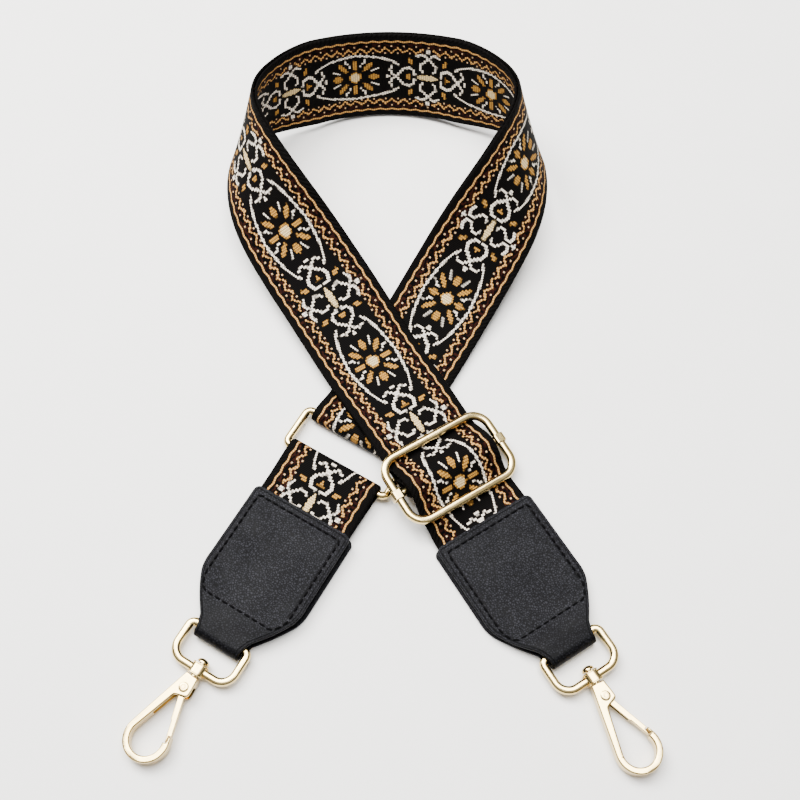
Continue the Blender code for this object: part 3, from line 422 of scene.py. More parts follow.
def put(tree, kind, *feeds, **settings):
    """Adds a node. Its inputs are fed in order, or by name from a dictionary; gives its first output."""
    node = tree.nodes.new(kind)
    for name, value in settings.items():
        setattr(node, name, value)
    for key, value in feeds[0].items() if feeds and isinstance(feeds[0], dict) else enumerate(feeds):
        if isinstance(value, bpy.types.NodeSocket):
            tree.links.new(value, node.inputs[key])
        elif value is not None:
            node.inputs[key].default_value = value
    return node.outputs[0] if node.outputs else node


def new_finish(name):
    """An empty material, and its tree of nodes."""
    finish = bpy.data.materials.new(name)
    finish.use_nodes = True
    finish.node_tree.nodes.clear()
    return finish, finish.node_tree


MATH, VECTOR, MIX = "ShaderNodeMath", "ShaderNodeVectorMath", "ShaderNodeMix"
# One woven cell in mm, drawn half as large again as the real one, so that it still shows at this distance
PICK, WARP = 0.92, 0.7

# One quarter of the figure, in mm: half a line's width, and its points (place from the flower's middle along
# the band, place across it).
CREAM_LINES = (
    (0.42, ((0.0, 10.0), (2.4, 9.8), (6.5, 9.3), (11.0, 8.5), (15.5, 7.1), (18.2, 5.3))),
    (0.52, ((16.8, 0.0), (18.2, 1.3), (19.9, 3.6), (22.2, 4.2), (24.4, 3.0), (24.8, 1.1))),
    (0.42, ((16.8, 0.0), (15.2, 1.5), (14.5, 3.0), (15.3, 4.8))),
    (0.42, (
        (28.2, 2.6), (26.9, 3.6), (26.8, 5.6), (28.2, 6.7),
        (29.8, 8.2), (29.4, 10.0), (27.4, 10.5), (25.6, 9.6),
    )),
    (0.3, ((7.1, 2.7), (10.1, 3.9))),
    (0.3, ((2.4, 4.9), (2.9, 6.3), (3.9, 6.8), (4.4, 8.1))),
)
# Place along and across, and radius
CREAM_DOTS = ((13.5, 0.0, 0.8), (30.4, 12.1, 0.95))
# Middle along and across, turn in degrees, half-length, half-width
OCHRE_LEAVES = (
    (7.85, 0.0, 0.0, 2.0, 1.4), (5.4, 4.7, 44.0, 2.8, 0.95), (0.1, 5.7, 90.0, 2.2, 0.9),
    (22.9, 7.2, 118.0, 1.6, 0.85),
)
# The zigzag has six teeth to a half repeat, and the gold line outside it sways with them.
TOOTH, RIB = REPEAT / 24, 0.6
ZIGZAG_AT, ZIGZAG_RISE, ZIGZAG_END, EDGE_LINE_AT, EDGE_LINE_SWAY = 10.95, 0.83, 28.4, 15.6, 0.2
BORDER_MIDDLE, BORDER_HALF, SELVAGE_START, SELVAGE_FULL, CORD_SPACING = 13.1, 2.4, 16.1, 16.7, 2.0
EDGE_LINE_HALF, SQUARE_HALF, YARN_FADE = 0.34, 0.32, 0.1


def jacquard(tree):
    """Place in mm, the masks of the figure's colours from 0 to 1, and for each cell a height, also used as
    painted light and shade, and a chance.
    """
    map_uv = put(tree, "ShaderNodeUVMap", uv_map="weave")
    place = put(tree, VECTOR, map_uv, (1000.0, 1000.0, 0.0), operation="MULTIPLY")
    parts = put(tree, "ShaderNodeSeparateXYZ", place).node.outputs
    # The loom draws in cells: one pick high and one warp thread wide, every second pick half a thread over.
    pick = put(tree, MATH, parts[0], PICK, operation="SNAP")
    over = put(tree, MATH, pick, PICK, operation="PINGPONG")
    over = put(tree, MATH, over, WARP / PICK / 2, operation="MULTIPLY")
    warp = put(tree, MATH, put(tree, MATH, parts[1], over, operation="ADD"), WARP, operation="SNAP")
    warp = put(tree, MATH, warp, over, operation="SUBTRACT")
    cell = put(tree, "ShaderNodeCombineXYZ", pick, warp)
    chance = put(tree, "ShaderNodeTexWhiteNoise", cell)
    middle = put(tree, VECTOR, cell, (PICK / 2, WARP / 2, 0.0), operation="ADD")
    inside = put(tree, VECTOR, place, middle, operation="SUBTRACT")
    # Bead is 1 in a cell's middle and 0 at its rim. It raises the yarn, and its colour also goes from painted
    # highlight in the middle to painted shade at the rim.
    bead = put(tree, VECTOR, inside, (2 / PICK, 2 / WARP, 0.0), operation="MULTIPLY")
    bead = put(tree, VECTOR, bead, operation="LENGTH").node.outputs[1]
    bead = put(tree, "ShaderNodeMapRange", bead, 0.3, 1.25, 1.0, 0.0)
    # The figure's outline keeps nine tenths to the cells, and one quarter of it is drawn and mirrored.
    woven = put(tree, MIX, {0: 0.9, 4: place, 5: middle}, data_type="VECTOR").node.outputs[1]
    parts = put(tree, "ShaderNodeSeparateXYZ", woven).node.outputs
    along = put(tree, MATH, parts[0], REPEAT / 2, operation="PINGPONG")
    across = put(tree, MATH, parts[1], operation="ABSOLUTE")
    point = put(tree, "ShaderNodeCombineXYZ", along, across)

    def joined(*distances):
        """The least of some distances."""
        nearest = distances[0]
        for distance in distances[1:]:
            nearest = put(tree, MATH, nearest, distance, operation="MINIMUM")
        return nearest

    def soft(*distances):
        """1 inside the nearest of some outlines and 0 outside, from the spot's distance to each."""
        return put(tree, "ShaderNodeMapRange", joined(*distances), YARN_FADE, -YARN_FADE, 0.0, 1.0)

    def from_spot(spot, radius):
        """Distance outside a dot of this radius."""
        apart = put(tree, VECTOR, point, (*spot, 0.0), operation="DISTANCE").node.outputs[1]
        return put(tree, MATH, apart, radius, operation="SUBTRACT")

    def from_value(value, middle, half):
        """Distance outside a line this far to either side of the middle."""
        apart = put(tree, MATH, put(tree, MATH, value, middle, operation="SUBTRACT"), operation="ABSOLUTE")
        return put(tree, MATH, apart, half, operation="SUBTRACT")

    cream = [from_spot(dot[:2], dot[2]) for dot in CREAM_DOTS]
    for radius, line in CREAM_LINES:
        apart = []
        for start, end in zip(line[:-1], line[1:]):
            run = Vector((end[0] - start[0], end[1] - start[1], 0.0))
            offset = put(tree, VECTOR, point, (*start, 0.0), operation="SUBTRACT")
            share = put(tree, VECTOR, offset, run / run.length_squared, operation="DOT_PRODUCT")
            share = put(tree, MATH, share.node.outputs[1], 1.0, operation="MULTIPLY", use_clamp=True)
            spot = put(tree, VECTOR, {0: run, "Scale": share}, operation="SCALE")
            apart.append(put(tree, VECTOR, offset, spot, operation="DISTANCE").node.outputs[1])
        cream.append(put(tree, MATH, joined(*apart), radius, operation="SUBTRACT"))
    ochre = [put(tree, MATH, chance, -0.8, from_spot((0.0, 0.0), 2.2), operation="MULTIPLY_ADD")]
    for *leaf, turn, long, wide in OCHRE_LEAVES:
        local = put(
            tree, "ShaderNodeMapping", point, (*leaf, 0.0), (0.0, 0.0, math.radians(turn)), (long, wide, 1.0),
            vector_type="TEXTURE",
        )
        size = put(tree, VECTOR, local, operation="LENGTH").node.outputs[1]
        ochre.append(put(tree, MATH, size, wide, -wide, operation="MULTIPLY_ADD"))
    # The small triangle inside the ring of cream points back to the flower.
    flank = put(tree, MATH, along, -0.62, 12.6, operation="MULTIPLY_ADD")
    flank = put(tree, MATH, flank, across, operation="ADD")
    foot = put(tree, MATH, along, 22.6, operation="SUBTRACT")
    ochre.append(put(tree, MATH, flank, foot, operation="MAXIMUM"))
    # The zigzag keeps about half to the cells, which leaves its teeth sharp and its line ragged. The gold
    # line and the small squares are thick yarns laid over the weave, and don't follow the cells.
    free = put(tree, "ShaderNodeSeparateXYZ", place).node.outputs
    free_tooth = put(tree, MATH, free[0], TOOTH, operation="PINGPONG")
    free_across = put(tree, MATH, free[1], operation="ABSOLUTE")
    half_way = put(tree, MIX, {0: 0.6, 4: place, 5: middle}, data_type="VECTOR").node.outputs[1]
    half_way = put(tree, "ShaderNodeSeparateXYZ", half_way).node.outputs
    tooth = put(tree, MATH, half_way[0], TOOTH, operation="PINGPONG")
    zigzag = put(tree, MATH, tooth, ZIGZAG_RISE, ZIGZAG_AT, operation="MULTIPLY_ADD")
    zigzag = from_value(put(tree, MATH, half_way[1], operation="ABSOLUTE"), zigzag, 0.0)
    ragged = put(tree, MATH, chance, -0.35, -0.16, operation="MULTIPLY_ADD")
    zigzag = put(tree, MATH, zigzag, 0.77, ragged, operation="MULTIPLY_ADD")
    stop = put(tree, MATH, along, ZIGZAG_END, operation="SUBTRACT")
    zigzag = put(tree, MATH, zigzag, stop, operation="MAXIMUM")
    sway = put(tree, MATH, free_tooth, EDGE_LINE_SWAY, EDGE_LINE_AT, operation="MULTIPLY_ADD")
    gold = soft(zigzag, from_value(free_across, sway, EDGE_LINE_HALF))
    # Pale yarn fills the flower's heart, and a long oval in the middle of the scroll cross.
    bar = put(tree, VECTOR, point, (REPEAT / 2, 0.0, 0.0), operation="SUBTRACT")
    bar = put(tree, VECTOR, bar, (0.27, 1.0, 1.0), operation="MULTIPLY")
    bar = put(tree, VECTOR, bar, operation="LENGTH").node.outputs[1]
    bar = put(tree, MATH, bar, 1.2, operation="SUBTRACT")
    pale = soft(from_spot((0.0, 0.0), 1.9), bar)
    # Tiny pale squares, one in each notch of the zigzag on either side
    notches = ((0.0, 13.9), (TOOTH, 10.75))
    squares = soft(*[
        put(tree, MATH, from_value(free_tooth, a, SQUARE_HALF), from_value(free_across, c, SQUARE_HALF),
            operation="MAXIMUM")
        for a, c in notches
    ])
    border = soft(from_value(across, BORDER_MIDDLE, BORDER_HALF))
    return place, bead, chance, soft(*cream), soft(*ochre), gold, pale, squares, border


def webbing_finish(name):
    """Polyester jacquard: matt black ribs with brighter filament threads that stand a little proud."""
    finish, tree = new_finish(name)
    place, bead, chance, cream, ochre, gold, pale, squares, border = jacquard(tree)
    parts = put(tree, "ShaderNodeSeparateXYZ", place).node.outputs
    # Ribs of ground weft cross the band, and dark red specks fill the border.
    ribs = put(tree, MATH, put(tree, MATH, parts[0], math.tau / RIB, operation="MULTIPLY"), operation="SINE")
    ribs = put(tree, MATH, ribs, 0.5, 0.5, operation="MULTIPLY_ADD")
    specks = put(tree, "ShaderNodeMapRange", chance, 0.55, 0.8, 0.0, 1.0)
    # The ground, the border and the figure's yarns, each laid over the last: its mask, and its dark and light
    # tones with what goes from one to the other. The figure's yarns also stand proud of the ground.
    # Across the ground's ribs and each yarn's cells, the light tone is a painted highlight and the dark one
    # is painted shade; the border's specks are the yarn's own colour.
    colour, figure = linear("#000000"), 0.0
    for mask, shade, dark, light in (
        (1.0, ribs, "#000000", "#0a0807"), (border, specks, "#020101", "#210c07"),
        (squares, bead, "#6b4c2c", "#e2c096"), (ochre, bead, "#4a2d0f", "#b4843c"),
        (gold, bead, "#62401c", "#d3a05e"), (cream, bead, "#7d7062", "#fff5e4"),
        (pale, bead, "#7c6036", "#e6cd98"),
    ):
        yarn = {0: shade, 6: linear(dark), 7: linear(light)}
        laid = {0: mask, 6: colour, 7: put(tree, MIX, yarn, data_type="RGBA").node.outputs[2]}
        colour = put(tree, MIX, laid, data_type="RGBA").node.outputs[2]
        if shade is bead:
            figure = put(tree, MATH, mask, figure, operation="MAXIMUM")
    # The selvage is a thick black twill of cords laid slantwise.
    edge = put(tree, MATH, parts[1], operation="ABSOLUTE")
    cord = put(tree, MATH, edge, 1.1, parts[0], operation="MULTIPLY_ADD")
    cord = put(tree, MATH, cord, math.tau / CORD_SPACING, operation="MULTIPLY")
    cord = put(tree, MATH, cord, operation="SINE")
    edge = put(tree, "ShaderNodeMapRange", edge, SELVAGE_START, SELVAGE_FULL, 0.0, 1.0)
    proud = put(tree, MATH, bead, 0.5, 0.5, operation="MULTIPLY_ADD")
    proud = put(tree, MATH, proud, figure, operation="MULTIPLY")
    height = put(tree, MATH, ribs, 0.3, proud, operation="MULTIPLY_ADD")
    cord = put(tree, MATH, cord, 0.6, operation="MULTIPLY")
    height = put(tree, MIX, {0: edge, 2: height, 3: cord}, data_type="FLOAT")
    normal = put(tree, "ShaderNodeBump", {"Strength": 0.8, "Distance": 0.0002, "Height": height})
    shader = put(tree, "ShaderNodeBsdfPrincipled", {
        "Base Color": colour, "Roughness": 0.75, "Normal": normal, "IOR": 1.5, "Specular IOR Level": 0.03})
    put(tree, "ShaderNodeOutputMaterial", {"Surface": shader})
    return finish


# Rib spacing on the band's back, in mm
BACK_RIB = 0.9


def reverse_finish(name):
    """The band's back: black with thin broken lines where the figure threads pass behind."""
    finish, tree = new_finish(name)
    map_uv = put(tree, "ShaderNodeUVMap", uv_map="weave")
    place = put(tree, VECTOR, map_uv, (1000.0, 1000.0, 0.0), operation="MULTIPLY")
    parts = put(tree, "ShaderNodeSeparateXYZ", place).node.outputs
    drawn = put(tree, VECTOR, place, (0.25, 1.8, 1.0), operation="MULTIPLY")
    specks = put(tree, "ShaderNodeTexNoise", {"Vector": drawn, "Scale": 1.0, "Detail": 2.0})
    specks = put(tree, "ShaderNodeMapRange", specks, 0.6, 0.68, 0.0, 0.5)
    tones = {0: specks, 6: linear("#030303"), 7: linear("#4a3219")}
    colour = put(tree, MIX, tones, data_type="RGBA").node.outputs[2]
    ribs = put(tree, MATH, parts[0], math.tau / BACK_RIB, operation="MULTIPLY")
    ribs = put(tree, MATH, ribs, operation="SINE")
    normal = put(tree, "ShaderNodeBump", {"Strength": 0.6, "Distance": 0.00015, "Height": ribs})
    shader = put(tree, "ShaderNodeBsdfPrincipled", {
        "Base Color": colour, "Roughness": 0.85, "Normal": normal, "IOR": 1.5, "Specular IOR Level": 0.03})
    put(tree, "ShaderNodeOutputMaterial", {"Surface": shader})
    return finish


def new_object(name, data):
    """An object of this data, in the scene."""
    thing = bpy.data.objects.new(name, data)
    bpy.context.scene.collection.objects.link(thing)
    return thing


def add_piece(name, mesh, body, slot, finishes, *replaced):
    """A finished piece: it rides on its body and stands for the CAD solids that are named."""
    piece = new_object(name, mesh)
    if finishes:
        mesh.materials.clear()
        for finish in finishes:
            mesh.materials.append(finish)
    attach(piece, body)
    if replaced:
        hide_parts(*replaced)
    return piece


def webbing_band(name, way, shift=0.0):
    """A length of the webbing along its way, and the length it was cut to."""
    places, spot, width, under = finer(way, BAND_STEP)
    halves = [HALF] * len(places)
    mesh = band_mesh(name, places, spot, width, -under, halves, WEB_THICKNESS, EDGE_ROUND, BAND_ROWS, shift)
    return mesh, float(places[-1])


web_finish = webbing_finish("polyester_jacquard_webbing")
web_back = reverse_finish("polyester_webbing_reverse")
mesh, cut_length = webbing_band("long_webbing", long_way)
# The figure isn't evenly spaced on the real band, so the UV map is stretched to put each flower in place.
first, last = FLOWER_PLACES[0], FLOWER_PLACES[-1]
known, number = np.array((
    (first[0] - REPEAT, first[1] - 1.0), *FLOWER_PLACES, (last[0] + 5 * REPEAT, last[1] + 5.0),
)).T
uv = mesh.uv_layers["weave"].data
along = np.zeros(len(uv) * 2, np.float32)
uv.foreach_get("uv", along)
along = along.reshape(-1, 2)
along[:, 0] = np.interp(along[:, 0] / MM, known, number) * REPEAT * MM
uv.foreach_set("uv", along.ravel())
long_webbing = add_piece("long_webbing", mesh, "strap", "webbing", (web_finish, web_back), "main_webbing")

# ---- Short patterned webbing --------------------------------------------------------------------------
# The same band, folded round the ring's lower bar with both of its ends sewn in the left leather end.

# Where the figure falls on this length
SHORT_SHIFT = -10.0 * MM
ring_bar = RING_FROM_CROSSING + RING_INNER_HEIGHT + 2 * WIRE_RADIUS
inside = LEFT_TAB_FROM_CROSSING + WEB_IN_TAB
sideways = -2 * SIDE_PLAY
upper, lower = TAB_WEB_HEIGHT + LAYER_STEP, TAB_WEB_HEIGHT
steps_in = (inside, (inside + LEFT_TAB_FROM_CROSSING) / 2, LEFT_TAB_FROM_CROSSING)
short_way = [(left_leg.point(place, sideways, upper), left_leg.left) for place in steps_in]
short_way += ring_fold(
    left_leg, sideways, ring_bar, LEFT_TAB_FROM_CROSSING - WEB_THICKNESS * 2, upper, lower, -1
)
short_way += [(left_leg.point(place, sideways, lower), left_leg.left) for place in reversed(steps_in)]
mesh, cut_length = webbing_band("short_band", short_way, SHORT_SHIFT)
short_webbing = add_piece("short_band", mesh, "left_end", "webbing", (web_finish, web_back), "short_webbing")

# ---- Leather ends -------------------------------------------------------------------------------------
# Each end is one dumbbell of black grained leather, folded round the D-ring's bar. Its two faces are glued
# and sewn over the webbing with black thread, and its cut edges are painted black.

TAB_LENGTH, TAB_CORNER, NECK_HALF = 57.0 * MM, 2.2 * MM, 9.1 * MM
TAB_HALF_WIDTH = HALF + 1.2 * MM
# Half the leather's outline: share of its length, and how far it is from the neck's width to the full one
TAB_OUTLINE = (
    (0.0, 1.0), (0.1, 1.0), (0.3, 1.0), (0.5, 1.0), (0.585, 0.995), (0.635, 0.94), (0.68, 0.83), (0.74, 0.65),
    (0.79, 0.475), (0.83, 0.32), (0.87, 0.16), (0.9, 0.055), (0.93, 0.01), (0.96, 0.0), (1.0, 0.0),
)
TAB_RISE = (0.74, 0.93)
TAB_BAR_GAP = 2 * (WIRE_RADIUS + FIT_GAP)
TAB_BAR_HEIGHT = LEATHER + TAB_BAR_GAP / 2
TAB_FOLD_RADIUS = (TAB_BAR_GAP + LEATHER) / 2
TAB_FOLD_AT = TAB_LENGTH - TAB_FOLD_RADIUS - LEATHER / 2
TAB_EDGE, TAB_ROWS = 0.45 * MM, 60
CREASE_AT, CREASE_HALF, PEBBLE = 1.15 * MM, 0.28 * MM, 0.8 * MM
BACK_WIDER = 0.8 * MM
SEAM_TOP, SEAM_SIDE_END, SEAM_FOOT = 3.2 * MM, 36.0 * MM, 42.5 * MM
SEAM_HALF_WIDTH, SEAM_GROOVE = TAB_HALF_WIDTH - 2.9 * MM, 0.5 * MM
SEAM_FOOT_HALF = SEAM_HALF_WIDTH - 3.3 * MM


def tab_half_width(place):
    """Half the leather's width at a distance from its top edge, whose corners are rounded."""
    shares = np.array(TAB_OUTLINE)
    share = smooth_line(shares[:, 0], shares[:, 1], place / TAB_LENGTH)
    half = NECK_HALF + (TAB_HALF_WIDTH - NECK_HALF) * share
    if place < TAB_CORNER:
        half -= TAB_CORNER - math.sqrt(max(TAB_CORNER**2 - (TAB_CORNER - place) ** 2, 0.0))
    return half


def tab_front_height(place, layers):
    """Height of the middle of the front leather at a distance from the end's top edge."""
    flat = LEATHER / 2 + TAB_WEB_HEIGHT + (layers - 1) * LAYER_STEP + WEB_THICKNESS / 2 + SMALL_GAP
    rise = ease(place / TAB_FOLD_AT, *TAB_RISE)
    return flat + (TAB_BAR_HEIGHT + TAB_FOLD_RADIUS - flat) * rise


def leather_finish(name):
    """Corrected-grain cow leather: black, with a fine pebble whose tops are painted lighter as a painted
    highlight and whose cracks are painted darker as painted shade.

    The attribute "edge" gives each spot's distance from the leather's edge, "seam" is 1 where it is sewn, and
    the fold attribute rises to 1 at the fold, where the stretched grain is smoother and the leather is
    painted darker as painted shade.
    """
    finish, tree = new_finish(name)
    place = put(tree, "ShaderNodeTexCoord").node.outputs["Object"]
    # The pebble's cells are bent by 1 mm grain, patches 0.7 mm wide vary them, and 9 mm waves vary the whole.
    bend = put(tree, "ShaderNodeTexNoise", {"Vector": place, "Scale": 900.0, "Detail": 2.0}).node.outputs[1]
    bent = put(tree, VECTOR, {0: bend, "Scale": 0.0005}, operation="SCALE")
    bent = put(tree, VECTOR, bent, place, operation="ADD")
    pebble = put(
        tree, "ShaderNodeTexVoronoi", {"Vector": bent, "Scale": 1 / PEBBLE}, feature="DISTANCE_TO_EDGE"
    )
    pebble = put(tree, "ShaderNodeMapRange", pebble.node.outputs["Distance"], 0.0, 0.25, 0.0, 1.0)
    patches = put(tree, "ShaderNodeTexNoise", {"Vector": place, "Scale": 1400.0, "Detail": 2.0})
    waves = put(tree, "ShaderNodeTexNoise", {"Vector": place, "Scale": 110.0, "Detail": 3.0})
    edge = put(tree, "ShaderNodeAttribute", attribute_name="edge").node.outputs["Fac"]
    # A line is pressed in a little inside the edge, and the seam lies in a shallow groove. Both are also
    # painted darker, as painted shade in the recess.
    lines = []
    for middle, half in ((CREASE_AT, CREASE_HALF), (SEAM_TOP, SEAM_GROOVE)):
        line = put(tree, MATH, put(tree, MATH, edge, middle, operation="SUBTRACT"), operation="ABSOLUTE")
        lines.append(put(tree, "ShaderNodeMapRange", line, 0.0, half, 1.0, 0.0))
    crease, seam = lines
    sewn = put(tree, "ShaderNodeAttribute", attribute_name="seam").node.outputs["Fac"]
    sunk = put(tree, MATH, crease, put(tree, MATH, seam, sewn, operation="MULTIPLY"), operation="MAXIMUM")
    fold_smooth_and_shade = put(tree, "ShaderNodeAttribute", attribute_name="fold_smooth_and_shade").node.outputs["Fac"]
    # At the fold the pebble fades: the grain there is smoother, and the leather is painted darker as painted
    # shade.
    grain_and_light_kept = put(tree, MATH, fold_smooth_and_shade, -0.4, 1.0, operation="MULTIPLY_ADD")
    pebble = put(tree, MATH, pebble, grain_and_light_kept, operation="MULTIPLY")
    light = put(tree, MATH, pebble, patches, operation="MULTIPLY")
    light = put(tree, "ShaderNodeMapRange", light, 0.1, 0.6, 0.0, 1.0)
    # The pebble's tops are painted lighter as a painted highlight and its cracks darker as painted shade; the
    # patches vary its tone at random.
    tones = {0: light, 6: linear("#010102"), 7: linear("#222226")}
    colour = put(tree, MIX, tones, data_type="RGBA").node.outputs[2]
    colour = put(tree, MIX, {0: sunk, 6: colour, 7: linear("#010101")}, data_type="RGBA").node.outputs[2]
    rough = put(tree, "ShaderNodeMapRange", waves, 0.3, 0.7, 0.5, 0.62)
    height = put(tree, MATH, waves, 0.6, pebble, operation="MULTIPLY_ADD")
    height = put(tree, MATH, sunk, -2.5, height, operation="MULTIPLY_ADD")
    normal = put(tree, "ShaderNodeBump", {"Strength": 0.5, "Distance": 0.00012, "Height": height})
    shader = put(tree, "ShaderNodeBsdfPrincipled", {
        "Base Color": colour, "Roughness": rough, "Normal": normal, "IOR": 1.5, "Specular IOR Level": 0.07})
    put(tree, "ShaderNodeOutputMaterial", {"Surface": shader})
    return finish


def tab_piece(side, layers, matrix, body):
    """One leather: from the back's top edge, round the fold, to the front's top edge, over its layers."""
    corner = [TAB_CORNER * share for share in (0.0, 0.06, 0.2, 0.45, 0.7, 1.0)]
    flat = list(np.linspace(TAB_CORNER, TAB_FOLD_AT * 0.93, 46)[1:])
    path = [(place, LEATHER / 2) for place in corner + flat]
    for angle in np.arange(-90, 91, 10):
        turn = math.radians(angle)
        out, up = TAB_FOLD_RADIUS * math.cos(turn), TAB_FOLD_RADIUS * math.sin(turn)
        path.append((TAB_FOLD_AT + out, TAB_BAR_HEIGHT + up))
    path += [(place, tab_front_height(place, layers)) for place in reversed(corner + flat)]
    local = np.array([(0.0, -place, height) for place, height in path])
    turn = np.array(matrix.to_3x3())
    spot = local @ turn.T + np.array(matrix.translation)
    width = np.tile(turn @ np.array((1.0, 0.0, 0.0)), (len(path), 1))
    normal = np.cross(width, headings(spot))
    back = len(corner + flat)
    halves = [
        tab_half_width(place) + (BACK_WIDER * (1 - ease(place / TAB_LENGTH, 0.5, 0.75)) if i < back else 0.0)
        for i, (place, _) in enumerate(path)
    ]
    along = distances(spot)
    mesh = band_mesh("leather_" + side, along, spot, width, normal, halves, LEATHER, TAB_EDGE, TAB_ROWS)
    labels = ("edge", "seam", "fold_smooth_and_shade")
    edge, seam, fold_smooth_and_shade = (mesh.attributes.new(label, "FLOAT", "POINT") for label in labels)
    down = [place for place, _ in path]
    for i, row in enumerate(np.array([v.co[:] for v in mesh.vertices]).reshape(len(path), -1, 3)):
        for k, point in enumerate(row):
            across = abs(float((point - spot[i]) @ width[i]))
            number = i * len(row) + k
            front = i >= back and k < len(row) / 2
            edge.data[number].value = min(halves[i] - across, down[i]) if front else 1.0
            seam.data[number].value = 1.0 if front and down[i] < SEAM_SIDE_END else 0.0
            # Rises to 1 at the fold, where the grain is smoother and the leather is painted darker as painted
            # shade.
            fold_smooth_and_shade.data[number].value = ease(down[i] / TAB_LENGTH, 0.72, 0.86)
    return add_piece("leather_end_" + side, mesh, body, "leather", (leather, leather), "leather_tab_" + side)


leather = leather_finish("grained_cow_leather")
right_tab_at = right_leg.matrix(RIGHT_TAB_FROM_CROSSING)
left_tab_at = left_leg.matrix(LEFT_TAB_FROM_CROSSING, -2 * SIDE_PLAY)
tab_piece("right", 1, right_tab_at, "strap")
tab_piece("left", 2, left_tab_at, "left_end")

# ---- Seams --------------------------------------------------------------------------------------------
# One row of lock stitches runs round each end's front, 3 mm in from the edge, in thick black polyester
# thread. Each stitch is pulled down at its two ends, where the needle went through.

STITCH_LENGTH, STITCH_GAP, STITCH_RADIUS, STITCH_PROUD = 2.4 * MM, 0.7 * MM, 0.4 * MM, 0.35


def thread_finish(name):
    """Waxed polyester thread: black, with the slant of its two plies painted as fine lighter lines, a painted
    highlight on their ridges.
    """
    finish, tree = new_finish(name)
    place = put(tree, "ShaderNodeTexCoord").node.outputs["Object"]
    ply = put(tree, "ShaderNodeTexWave", {"Vector": place, "Scale": 900.0, "Distortion": 2.0})
    tones = {0: ply, 6: linear("#030303"), 7: linear("#0a0a0b")}
    colour = put(tree, MIX, tones, data_type="RGBA").node.outputs[2]
    normal = put(tree, "ShaderNodeBump", {"Strength": 0.5, "Distance": 0.0001, "Height": ply})
    shader = put(tree, "ShaderNodeBsdfPrincipled", {
        "Base Color": colour, "Roughness": 0.7, "Normal": normal, "IOR": 1.5, "Specular IOR Level": 0.03})
    put(tree, "ShaderNodeOutputMaterial", {"Surface": shader})
    return finish


def closed_line(name, points, dimensions="3D"):
    """A curve of straight steps through the points and back to the first."""
    curve = bpy.data.curves.new(name, "CURVE")
    curve.dimensions = dimensions
    spline = curve.splines.new("POLY")
    spline.points.add(len(points) - 1)
    for spot, point in zip(spline.points, points):
        spot.co = (*point, 1.0)
    spline.use_cyclic_u = True
    return new_object(name, curve)


def as_mesh(holder):
    """The object's shape as its modifiers leave it."""
    graph = bpy.context.evaluated_depsgraph_get()
    return bpy.data.meshes.new_from_object(holder.evaluated_get(graph))


def stitch_mesh(name, points, finish):
    """One stitch repeated along the seam's line by Geometry Nodes."""
    tree = bpy.data.node_groups.new(name, "GeometryNodeTree")
    sizes = {"Spacing": STITCH_LENGTH + STITCH_GAP, "Length": STITCH_LENGTH, "Radius": STITCH_RADIUS}
    for way in ("INPUT", "OUTPUT"):
        tree.interface.new_socket("Geometry", in_out=way, socket_type="NodeSocketGeometry")
    for label in sizes:
        tree.interface.new_socket(label, in_out="INPUT", socket_type="NodeSocketFloat")
    given = put(tree, "NodeGroupInput").node.outputs
    spots = put(tree, "GeometryNodeCurveToPoints", {"Curve": given[0], "Length": given[1]}, mode="LENGTH")
    ball = put(tree, "GeometryNodeMeshUVSphere", {"Segments": 8, "Rings": 6, "Radius": 1.0})
    half = put(tree, MATH, given[2], 0.5, operation="MULTIPLY")
    size = put(tree, "ShaderNodeCombineXYZ", given[3], given[3], half)
    grown = put(tree, "GeometryNodeTransform", {"Geometry": ball, "Scale": size})
    soft = put(tree, "GeometryNodeSetShadeSmooth", {0: grown})
    copies = put(tree, "GeometryNodeInstanceOnPoints", {
        "Points": spots, "Instance": soft, "Rotation": spots.node.outputs["Rotation"]})
    real = put(tree, "GeometryNodeRealizeInstances", {0: copies})
    dressed = put(tree, "GeometryNodeSetMaterial", {"Geometry": real, "Material": finish})
    put(tree, "NodeGroupOutput", {0: dressed})
    holder = closed_line(name, points)
    step = holder.modifiers.new("stitches", "NODES")
    step.node_group = tree
    inputs = {item.name: item.identifier for item in tree.interface.items_tree if item.in_out == "INPUT"}
    for label, value in sizes.items():
        step[inputs[label]] = value
    mesh = as_mesh(holder)
    bpy.data.objects.remove(holder, do_unlink=True)
    return mesh


thread = thread_finish("waxed_polyester_thread")
# The seam's line: across the top, down one side, across the foot and up the other side
seam_side = [(SEAM_HALF_WIDTH, place) for place in np.linspace(SEAM_TOP * 1.3, SEAM_SIDE_END, 14)]
seam_side += [
    (SEAM_HALF_WIDTH - 0.7 * MM, SEAM_SIDE_END + 3.0 * MM), (SEAM_FOOT_HALF + 0.8 * MM, SEAM_FOOT - 0.9 * MM),
]
seam_line = [(x * SEAM_HALF_WIDTH, SEAM_TOP) for x in np.linspace(-0.94, 0.94, 12)] + seam_side
seam_line += [(x * SEAM_FOOT_HALF, SEAM_FOOT) for x in np.linspace(0.97, -0.97, 10)]
seam_line += [(-x, place) for x, place in reversed(seam_side)]
for side, layers, matrix, body in (
    ("right", 1, right_tab_at, "strap"), ("left", 2, left_tab_at, "left_end")
):
    proud = LEATHER / 2 + STITCH_RADIUS * STITCH_PROUD
    points = [
        matrix @ Vector((x, -place, tab_front_height(place, layers) + proud)) for x, place in seam_line
    ]
    mesh = stitch_mesh("stitches_" + side, points, thread)
    add_piece("stitches_" + side, mesh, body, "thread", (), "seam_thread_" + side)

# ---- Adjuster ring ------------------------------------------------------------------------------------
# A rounded rectangle of 3 mm steel wire, butt-welded, polished and plated in pale gold. The long webbing
# folds round its upper bar and the short webbing round its lower one.

RING_INNER_WIDTH, RING_CORNER, ARC_STEPS = WEB_WIDTH + 2.0 * MM, 2.2 * MM, 14
SMOOTH_UNDER = math.radians(32)


